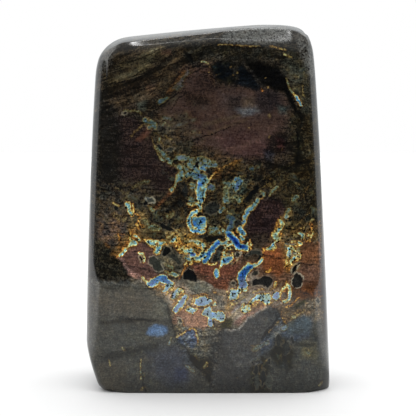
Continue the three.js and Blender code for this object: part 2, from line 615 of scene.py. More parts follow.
ROCK = tint(46, 41, 34)
ZONES = [  # outline, tint, soft edge, cover
    # The top: brown with an olive band, and grey-olive under the bevel.
    ("-42,150 -42,112 -28,111 -12,121 -6,133 -8,150", (43, 37, 28), 3, 0.9),
    ("-42,119 -26,119 -25,112 -42,112", (56, 47, 38), 2.5, 0.8),
    ("-42,127 -30,131 -20,140 -14,140 -24,131 -40,121", (47, 42, 30), 2, 0.8),
    ("-40,122 -20,131 -18,128 -27,121 -38,117", (28, 22, 17), 3, 0.7),
    ("-37,126.5 -30,129.5 -26,133 -24,138 -21.6,138.6 -22.4,134.6 -25,130.6 -30,127.6",
     (84, 78, 58), 1.4, 0.7),
    ("-19,136.6 -15,136.6 -15,138.6 -19,138.6", (64, 46, 38), 1, 0.6),
    ("-16,130 0,131 0,124 -12,122", (32, 24, 18), 2, 0.7),
    ("-10.6,137 -8.6,137.6 -5.4,133.6 -5,131.4 -7,131.6 -8.4,134.4", (24, 28, 26), 0.7, 0.85),
    ("-8,130.6 -7,129.4 -13,123.6 -15,124.6", (20, 20, 26), 0.9, 0.7),
    ("-10,141 36,141 36,133 22,134 4,134 -8,135", (34, 32, 26), 2.5, 0.9),
    ("32,138 42,132 42,112 38,112 33,124 30,131", (52, 50, 40), 2.5, 0.9),
    ("-30,118 -14,122 -16,113 -26,112", (42, 37, 30), 2, 0.6),
    # The middle of the upper half: brown mauve, with red-brown and plum patches.
    ("-9,131 2,132 3,124 21,123 32,119 33,112 30,105 25,98 22,92 6,93 -6,98 -18,106 -20,112 -12,119",
     (64, 49, 43), 3, 0.95),
    ("-4,129 3,129 4,124 2,121 -4,121 -7,124", (43, 33, 29), 2, 0.8),
    ("-10,121 -2,120 2,117 -4,115 -10,116", (31, 24, 19), 2.5, 0.8),
    ("-12,112 -5,113 -3,110 -8,107 -13,109", (46, 32, 24), 2.5, 0.6),
    ("5,121 20,119 24,112 8,112", (72, 60, 56), 3, 0.8),
    ("20,121 27,122 29,117 25,113 20,114", (36, 32, 31), 2.5, 0.8),
    ("4,104 14,106 24,104 26,97 18,93 6,95", (68, 49, 46), 3, 0.85),
    ("-25,107 -16,105 -14,99 -22,99", (86, 76, 54), 2, 0.75),
    ("-26,100 -20,99 -17,92 -20,88 -26,92", (62, 50, 40), 2.5, 0.6),
    ("-24,111 -10,112 -4,104 -8,97 -18,98 -24,104", (66, 58, 46), 3, 0.7),
    ("24,104 32,106 34,98 27,94 23,97", (22, 19, 18), 2.5, 0.85),
    ("26,97 32,98 32,91 26,92", (46, 38, 31), 2, 0.7),
    # The near-black patch at the upper right and its tail down the right side.
    ("1,132 8,134 20,134 28,132 33,125 36,114 40,112 40,104 37,104 36,112 31,119 29,124 22,123 10,124 "
     "4,126", (11, 11, 9), 1.6, 0.97),
    ("3,131 9,132 10,126 5,127", (12, 15, 18), 1.5, 0.9),
    ("12,130 18,129 18,124 11,124", (14, 17, 22), 1.5, 0.8),
    # Dark plum at the left, greener towards the edge.
    ("-43,112 -30,111 -25,107 -21,100 -19,95 -13,91 -12,86 -17,80 -28,85 -43,84", (42, 33, 31), 1.2, 0.95),
    ("-46,122 -41,122 -35,108 -35,84 -46,82", (28, 27, 24), 3, 0.9),
    # Olive and dark rock down the right side.
    ("33,112 44,112 46,62 32,62 30,76 24,84 34,90 36,100", (46, 40, 27), 3, 0.9),
    ("36,111 39,111 38,94 36,82 34,88 35,100", (18, 17, 14), 1.8, 0.85),
    ("36,79 42,80 42,69 36,69", (38, 37, 31), 2, 0.7),
    # The broken middle.
    ("-20,98 -8,100 8,95 22,92 24,86 12,60 -2,60 -14,62 -14,74 -22,78 -14,82 -10,88", (56, 48, 34), 3, 0.9),
    ("-4,96 4,98 10,94 8,90 0,92", (72, 58, 44), 2.5, 0.6),
    ("2,88 6,90 10,90 8,86 3,85", (60, 42, 26), 1.5, 0.8),
    ("1,94 9,93 9,88 2,89", (78, 60, 40), 1.5, 0.7),
    ("16,95 26,94 30,90 22,84 15,87", (36, 31, 25), 2.5, 0.8),
    ("8,82 17,82 18,68 9,67", (44, 39, 28), 2, 0.8),
    ("-44,84 -22,84 -22,76 -44,76", (58, 52, 44), 3, 0.8),
    ("-44,77 -30,76 -30,63 -36,56 -46,60", (68, 60, 50), 3, 0.8),
    ("-28,78 -16,80 -10,76 -12,62 -26,62", (54, 49, 39), 2.5, 0.8),
    ("-16,82 -10,86 -10,76 -16,74", (38, 35, 30), 1.5, 0.8),
    ("6,83 14,86 14,78 6,77", (60, 63, 52), 1.5, 0.7),
    # Plum between gold lines at the right.
    ("21,78 29,78 31,74 29,69 26,63 22,60 17,61 15,66 16,71", (44, 32, 31), 1, 0.95),
    ("17,64 24,65 24,60 17,60", (52, 45, 37), 1.5, 0.8),
    ("28,66 32,64 40,68 46,69 46,60 36,60.5 30,61 27,63", (104, 84, 56), 1.2, 0.75),
    ("-17,67 -8,66 -6,57 -12,54 -18,58", (108, 96, 68), 1.5, 0.8),
    ("0,61 9,60 10,54 2,53", (66, 66, 58), 1.2, 0.7),
    # Dark rock along the left edge, between the flash and the grey foot.
    ("-48,62 -42,62 -36,55 -34,50 -28,46 -48,46", (36, 34, 27), 1.5, 0.9),
    # Peach and brown round the flash of the lower half.
    ("-30,46 -20,47 2,44 14,42 34,40 46,38 46,24 24,34 10,22 -2,16 -10,20 -14,28 -20,38",
     (116, 106, 92), 2, 0.95),
    # Copper across the lower middle, redder to the left and browner to the right.
    ("-8,50 -5,52 4,52 10,57 20,57 22,60 45,61 46,38 38,37 28,42 16,48 12,42 2,44 -4,46",
     (100, 75, 58), 1.2, 0.95),
    ("-6,52 4,52 12,55 12,47 2,47 -6,49", (108, 66, 52), 1.5, 0.85),
    ("22,58 31,58 32,50 28,47 22,50", (124, 74, 44), 1.2, 0.95),
    ("34,60 45,61 45,52 36,52", (108, 72, 48), 1.2, 0.85),
    ("36,52 45,51 45,38 38,38 36,43", (98, 72, 58), 1.2, 0.85),
    ("14,58 22,60 22,53 14,53", (56, 48, 36), 1.2, 0.85),
    ("-33,64 -31,74 -25,74 -24,67 -26,62", (104, 92, 66), 1.5, 0.8),
    ("-44,70 -37,73 -33,70 -33,64 -38,60 -45,62", (92, 76, 66), 1.5, 0.7),
    ("-39,56 -35,62 -31,66 -27,65 -24,62 -28,60 -32,57 -36,54.5", (136, 98, 52), 1.2, 0.75),
    ("-26,62.5 -18,61.5 -14,65.5 -8,64 -2,62 0,58 -4,54 -10,56 -14,60 -20,59", (148, 120, 68), 0.9, 0.85),
    ("29,61 37,61 37,50 31,49", (138, 100, 56), 1, 0.8),
    ("25,62 29,70 33,74 34,70 31,65 28,60", (104, 84, 48), 1.2, 0.75),
    # Mauve at the lower left.
    ("-35,55 -31,58.5 -27,61 -24,59 -21,57 -21,50 -16,48 -22,46 -27,46.5 -31,49", (100, 74, 66), 0.7, 0.95),
    ("-22,57 -12,60 -8,54 -11,48 -20,47 -22,51", (78, 74, 62), 1.2, 0.85),
    ("-36,54.4 -35.2,55.4 -31.4,49.4 -27,47 -22,46.4 -22.4,45.4 -27.4,45.8 -32,48",
     (150, 116, 106), 0.5, 0.8),
    # Grey lavender rock under the copper at the right.
    ("12,47.6 16,48.6 22,46 28,43.6 31,41.6 30,40 14,40.4 12,43", (128, 114, 102), 0.8, 0.9),
    ("16,48 18.6,47 18.4,44 16.6,44.4 15.6,46", (124, 112, 100), 0.6, 0.8),
    # Grey foot, left and right of the copper tongue.
    ("-50,45 -38,45.5 -29,45 -24,43 -21,40 -16,36 -15,31 -13,25 -9,19 -7,13 -3,9 1,4 1,-3 -50,-3",
     (84, 84, 80), 0.9, 1),
    ("-36,44 -26,43 -18,35 -18,28 -28,28 -36,34", (92, 90, 83), 3, 0.85),
    ("-24,40 -17,36 -16,31 -22,31", (110, 109, 98), 2, 0.8),
    ("-47,44 -40,44 -40,2 -47,2", (82, 81, 76), 3, 0.7),
    ("-34,24 -24,24 -24,19 -34,19", (86, 87, 84), 3, 0.6),
    ("-20,44 -14,45 -8,43 -4,39 -8,35 -12,33 -15,35 -17,39", (168, 152, 132), 1.2, 0.9),
    ("16,34 22,37 30,40 34,36 30,33 24,34.6 18,31.6", (150, 136, 122), 1.2, 0.85),
    ("-13,34 -4,35 0,31 1,27 -4,25 -9,27 -14,29", (168, 128, 106), 1, 0.95),
    ("-10,27 0,27 6,25 6,19 0,14 -7,16 -12,22", (104, 101, 92), 1.6, 0.85),
    ("2,45 14,43 10,32 2,35", (140, 128, 112), 2, 0.8),
    ("-9,46 2,45 4,39 -6,41", (104, 94, 80), 1.5, 0.8),
    ("14,41 28,42 30,36 20,34 14,31 10,28 8,31", (154, 143, 126), 1.6, 0.9),
    ("6,26 12,25.5 16,30 20,33 25,35.5 29,34 31,31 26,26 22,20 22,-3 0,-3 2,12 0,22", (74, 74, 73), 0.8, 1),
    ("28,34 44,38 46,30 34,28", (110, 102, 90), 2, 0.8),
    ("24,26 46,30 50,12 50,-3 22,-3 22,20", (79, 80, 77), 1.6, 0.95),
    ("29,24 33,27.5 38,31 42,30 41,23 33,20", (82, 93, 108), 1.5, 0.7),
    ("17,21 26,24 28,21 22,16 17,17", (92, 100, 112), 2, 0.8),
    ("27,24 30,23 35,17 34,10 32,9 31,13 28,10 25,16", (52, 50, 43), 1.4, 0.8),
    ("17,12 20,16 24,14 25,0 17,0", (54, 51, 43), 1.6, 0.8),
    ("37,20 44,20 44,14 38,14", (94, 92, 76), 1.5, 0.7),
    ("-24,16 -11,20 -8,13 -9,3 -16,2 -22,8", (76, 79, 88), 4, 0.8),
    ("-13,10 -8,10 -8,5 -13,5", (68, 72, 90), 1.5, 0.7),
    ("-24.3,23.6 -24,26.5 -22,27.4 -17.2,27 -17,25 -20,23.4", (102, 126, 156), 0.7, 0.92),
    ("-12,23.5 -8,26 -5.6,26 -5,21.6 -8,19.6 -11,21", (84, 90, 124), 0.8, 0.9),
    # Darker along the very foot: painted shade, where the polish mirrors the table in the stone's own
    # shadow.
    ("-50,6 50,6 50,-3 -50,-3", (58, 58, 57), 4, 0.5),
    # Along the foot: brown in the far left, olive lumps right of the dark vein, and pale edges of the
    # grey band.
    ("-48,40 -38,42 -20,39 -20,34 -36,31 -48,33", (98, 93, 84), 3, 0.6),
    ("-43,29 -30,30.5 -20,30 -20,29 -30,28.6 -43,27.6", (60, 58, 54), 0.8, 0.8),
    ("-45,14.5 -36,17 -28,18.5 -20,20.5 -20,18 -30,15.6 -40,12.6", (56, 56, 54), 1.2, 0.7),
    ("-44,12 -33,12 -33,0 -44,0", (84, 80, 72), 2, 0.6),
    ("-33,24 -26,24.5 -22,23 -26,21 -34,21.4", (90, 90, 82), 2, 0.7),
    ("-12,28 -6,28 1,27 4,22 2,16 -4,14 -7,18 -11,22", (104, 101, 92), 1.6, 0.75),
    ("-6,13 2,14 2,6 -4,6", (70, 69, 65), 1.6, 0.6),
    ("0,20 6,26 10,24 8,14 2,10", (78, 77, 74), 2, 0.7),
    # The ground of the crushed rock along the lower edge of the copper, and the grey wedge under it.
    ("-21.8,42 -19,43.4 -17.6,43 -18.2,41.4 -20,41.2", (162, 134, 100), 0.6, 0.85),
    ("-17.4,40.4 -15,41.8 -13,42.8 -9.6,42.6 -8.2,40 -12,35 -13.6,36.4 -15,38", (186, 160, 130), 0.5, 0.88),
    ("-9.6,38.6 -9.4,35.4 -7,34.8 -5.2,36 -5.4,38.4 -7.4,39.4", (158, 142, 122), 0.7, 0.8),
    ("-13.6,31.8 -10,33 -6,32.4 -2.8,32.6 -1,30.6 -0.2,27 -2.4,25.8 -4.6,26.6 -8,27 -9.8,27.4 -10.6,30",
     (160, 126, 106), 0.6, 0.92),
    ("-13,27.4 -10,27.4 -8.4,26.4 -11,24.4 -13,24.4", (120, 114, 98), 0.8, 0.8),
    ("-12.4,23 -10,23.9 -7.4,26 -6,26.2 -5,24.8 -4.4,21.4 -6,18.6 -9,18.6 -11.4,20.4",
     (90, 100, 118), 0.6, 0.9),
    ("7,31.6 6.8,34 7.6,37 9.4,37 10,33 9.2,31.6", (178, 150, 106), 0.7, 0.8),
    ("9.2,32.4 11,34.4 13,37 14.4,38.4 15.6,37.8 13.4,34.8 11,32.2", (176, 172, 164), 0.5, 0.85),
    ("4.6,27 6,30.2 9.4,30.8 10.4,29.4 9.4,27.2 8.6,26.4 5.4,26.2", (68, 66, 50), 0.7, 0.85),
    ("10,28 12,30.4 16,32.2 19,33.6 22,35.2 23,34.8 20,33 16.6,31.2 14,29.2 12.6,27.4",
     (142, 110, 98), 0.6, 0.85),
    ("17,35.8 20,37.2 22,36.4 24,36 22,34.8 19,33.8 16.8,34.2", (128, 104, 86), 0.6, 0.8),
    ("6.6,25.4 12.8,25.5 14.9,28.4 16.2,30.4 18.6,30.8 20.7,33.2 24.2,35 26,35.6 27.6,33.4 29,30 26,27 "
     "23,24 21,20 22,12 12,10 6,18", (84, 84, 83), 0.4, 0.95),
    ("6.6,25.9 12.6,26 14.7,28.9 16,30.8 18.4,31.2 20.4,33.5 23.8,35.3 24.2,35 20.7,33.1 18.6,30.8 "
     "16.2,30.4 14.9,28.4 12.8,25.5 6.6,25.4", (166, 160, 150), 0.3, 0.9),
    ("34.4,34.2 36,36 37.4,37.2 39,37.6 39.2,36.2 37,35 35.6,33.8", (58, 60, 46), 0.6, 0.85),
    ("28,34.4 31,34.8 34,33.6 38,34 40,36 42,34 41,31.6 38,31.4 34,29.4 31,28.4 29,31",
     (112, 96, 78), 1, 0.85),
    ("31,27.6 33.4,29.2 36,30.4 38.4,31.6 41,31 42,27 40,24 34,23.4 31,25", (86, 95, 99), 0.8, 0.9),
    ("24.6,22.6 27.6,25.4 29.6,25.2 27.4,23.4 25.6,22", (150, 150, 142), 0.6, 0.7),
    ("25,25.6 27.6,28.4 29.6,29.4 30.6,27.4 28.6,25.6 26.4,24.4", (108, 110, 112), 0.7, 0.8),
    ("-24.6,23.8 -23.8,26.6 -22,27.5 -17,27.2 -16.6,25 -19,23.8 -22,23.3", (104, 128, 160), 0.8, 0.92),
    # Soft blue, red-brown and grey patches of the upper half.
    ("11,114.6 19,115.4 21,113 14,111.8", (88, 94, 98), 1.6, 0.7),
    ("28,115.6 32,115 31.6,112.6 28.6,112.8", (56, 72, 70), 1.4, 0.7),
    ("-29,101.2 -27,100.8 -22.4,106.2 -23.8,107.4", (104, 68, 52), 0.9, 0.7),
    ("-25.4,119.6 -20,120 -19.6,124 -24.6,123.4", (60, 42, 34), 1.4, 0.6),
    ("-17.4,120.6 -15.6,120.2 -8.4,129 -9.4,130.6", (92, 62, 34), 1, 0.7),
    ("-28.6,116.8 -25,117.4 -25,113.4 -28.4,113.4", (60, 64, 55), 1.2, 0.7),
    ("-1,45.8 1,44 3,42 7.8,41.2 8.8,43 9,47 0,47.6", (112, 74, 60), 0.6, 0.9),
    ("-8,45 -3,44.8 0,44 2,42.4 0.5,40.6 -4,40 -8,41.6", (108, 108, 98), 0.6, 0.9),
    ("0,44.4 2.4,42.6 0.9,40.4 0.2,40.6 1.6,42.4 -0.4,43.9", (172, 164, 150), 0.3, 0.85),
    ("-22.2,74 -21,74 -14.2,81.2 -15.2,82", (112, 76, 52), 0.5, 0.8),
    # Light and dark bands that rise to the right at the upper left.
    ("-40,117 -30,120 -22,123 -14,129 -12,128 -20,120.6 -28,117.6 -38,115", (66, 56, 42), 1, 0.6),
    ("-38,132 -30,134.5 -22,139 -18,139 -26,133.4 -36,129.6", (66, 60, 44), 1, 0.6),
    ("-22,128.6 -16,133 -10,138.6 -8,138 -14,132 -20,127.6", (60, 50, 36), 0.9, 0.7),
    ("-41,121 -30,124.4 -22,128 -14,134.6 -15,135.6 -23,129.6 -30,126.4 -41,123", (22, 19, 14), 0.9, 0.75),
    # Blue-black pieces in the dark patch, and the bare band between them.
    ("2.4,132.6 4.6,133.6 9.4,131.4 11.4,128.6 9,126.2 4,126.8 1.6,129.6", (10, 13, 16), 0.9, 0.95),
    ("12,131 14.4,131.4 21.4,122.8 19.6,121.6 12,124.2", (13, 17, 21), 0.8, 0.9),
    ("13.6,133 15,133.4 23.4,122.2 22.4,121.4", (40, 37, 33), 0.4, 0.7),
    ("20,131.6 28,130.6 31.6,126 31,121.6 27,121.4 23,124.6 19.4,128", (5, 5, 4), 1, 0.98),
    ("9.8,133.6 12.6,133.8 12.2,126 10.4,125.6", (34, 31, 26), 0.8, 0.6),
    # Soft clouds and rising light bands in the mauve.
    ("8.5,119 13,119.6 14,115.4 10,113.6 7.6,115.6", (32, 28, 26), 1.8, 0.75),
    ("19.5,120.6 24,121.6 28.4,120 29.4,115.6 26,112.6 21.6,112.6 19.4,116", (36, 31, 32), 1.6, 0.8),
    ("14,118.6 18,119 18.6,116 14.6,115.4", (84, 72, 56), 1.6, 0.6),
    ("-2,108.8 6,110.6 14,112.8 14,111.6 6,109.2 -2,107.4", (84, 72, 54), 0.7, 0.5),
    ("0,105 8,108 16,111.2 16,110 8,106.8 0,103.6", (82, 66, 50), 0.7, 0.5),
    ("6,98.4 14,100.4 24,105 28,109 28.8,108 24.8,103.4 14,98.8 6,96.8", (88, 68, 60), 0.9, 0.5),
    ("22.6,98 27,96.6 26,92.4 22,94", (26, 29, 36), 1.2, 0.7),
    ("27.6,103 31,102.6 30.6,97 27.6,97.6", (44, 25, 24), 1.2, 0.7),
    # Olive veils with gold edges that rise to the right of the column.
    ("6.5,78 8,83.6 11,86.6 15,86 15.6,82 13.4,78 9,76.6", (70, 78, 66), 1, 0.6),
    ("22,86.4 26,88 31,91 35,92.6 35,91.4 31,89 26.4,85.6 23,84.6", (66, 56, 32), 0.8, 0.7),
    ("28,85.4 32,88 38,91 38,89.8 33,86 29,83.8", (62, 52, 32), 0.8, 0.6),
    ("1.2,86.6 4,90.2 8,92.2 14,94.6 14,93.8 8.6,91 4.6,88.6 2.4,86", (98, 74, 38), 0.5, 0.75),
    # Pale seams beside the arc and the lens, and a light patch over the mauve.
    ("-8.4,46 -6,45.6 -2,45.4 0.2,44.6 0.2,44.2 -2,44.8 -6,45 -8.4,45.3", (152, 146, 132), 0.3, 0.75),
    ("-13.4,47.6 -11.4,49.6 -10.4,50 -10.6,48 -12,46.6", (128, 122, 100), 0.6, 0.7),
    ("-18.6,51.4 -15,50.6 -12,52.4 -13.6,54.8 -17,54", (116, 108, 86), 1.2, 0.7),
    ("5.4,30.6 8,31.6 11,34 13.6,36.2 13,36.8 10,34.4 7,32.2 5.2,31.4", (148, 116, 104), 0.5, 0.8),
    ("11.6,29.6 14,32.2 16.6,33.6 16,34 13.4,32.6 11,30.4", (168, 158, 144), 0.4, 0.8),
    ("26,34.4 28.6,36.6 31,38.6 30.4,39 28,37.2 25.4,35", (134, 104, 84), 0.5, 0.8),
    # Dark gaps among the blue bars, and the dusky rock above them.
    ("8.4,64.8 10,65.4 11.6,64.4 12.6,62 12.6,59.8 11.2,59.4 9.8,61.6", (24, 28, 30), 0.5, 0.8),
    ("-4,62.6 0,62.8 5,63.6 7,62.6 3,61.2 -2,61.4", (18, 17, 14), 0.6, 0.85),
    ("8,72 11.6,71.6 14.2,68.4 13,66.6 9.8,67.2 7.6,69.4", (38, 42, 40), 0.8, 0.7),
]

rock = np.tile(np.array(ROCK), (len(front), 1))
for outline, shade, soft, cover in ZONES:
    outline = points_of(outline)
    index = near(outline, soft + 1)
    share = (soft_share(index, outline, soft) * cover)[:, None]
    rock[index] += (np.array(tint(*shade)) - rock[index]) * share
print("zones of rock:", len(ZONES))

# %% Take the mirrored table off the tints
# The tints are as they look under the gloss. Low down that includes the mirrored table, which the light of
# the scene adds by itself.
MIRRORED_TABLE = 0.03  # the light that the mirrored table adds
MIRRORED_BELOW = 46  # millimetres up, where it starts
MIRRORED_EDGE = 4  # and over how many millimetres it comes in fully
DARKEST_ROCK = 0.003

mirrored = np.clip((MIRRORED_BELOW - points[front, 2]) / MIRRORED_EDGE, 0, 1) * MIRRORED_TABLE
rock = np.maximum(rock - mirrored[:, None], DARKEST_ROCK)
print("points that mirror the table:", np.count_nonzero(mirrored))

# %% [markdown]
# ### The flash
#
# A stroke has a course, a half width, a rim over which its height falls to nothing, the height itself and a
# glow, which says how brightly it shines. A height of 1.1 reaches royal blue, 0.8 sky blue, 0.55 teal, 0.4
# cream and 0.25 gold. A stroke without a width is an outline, filled.

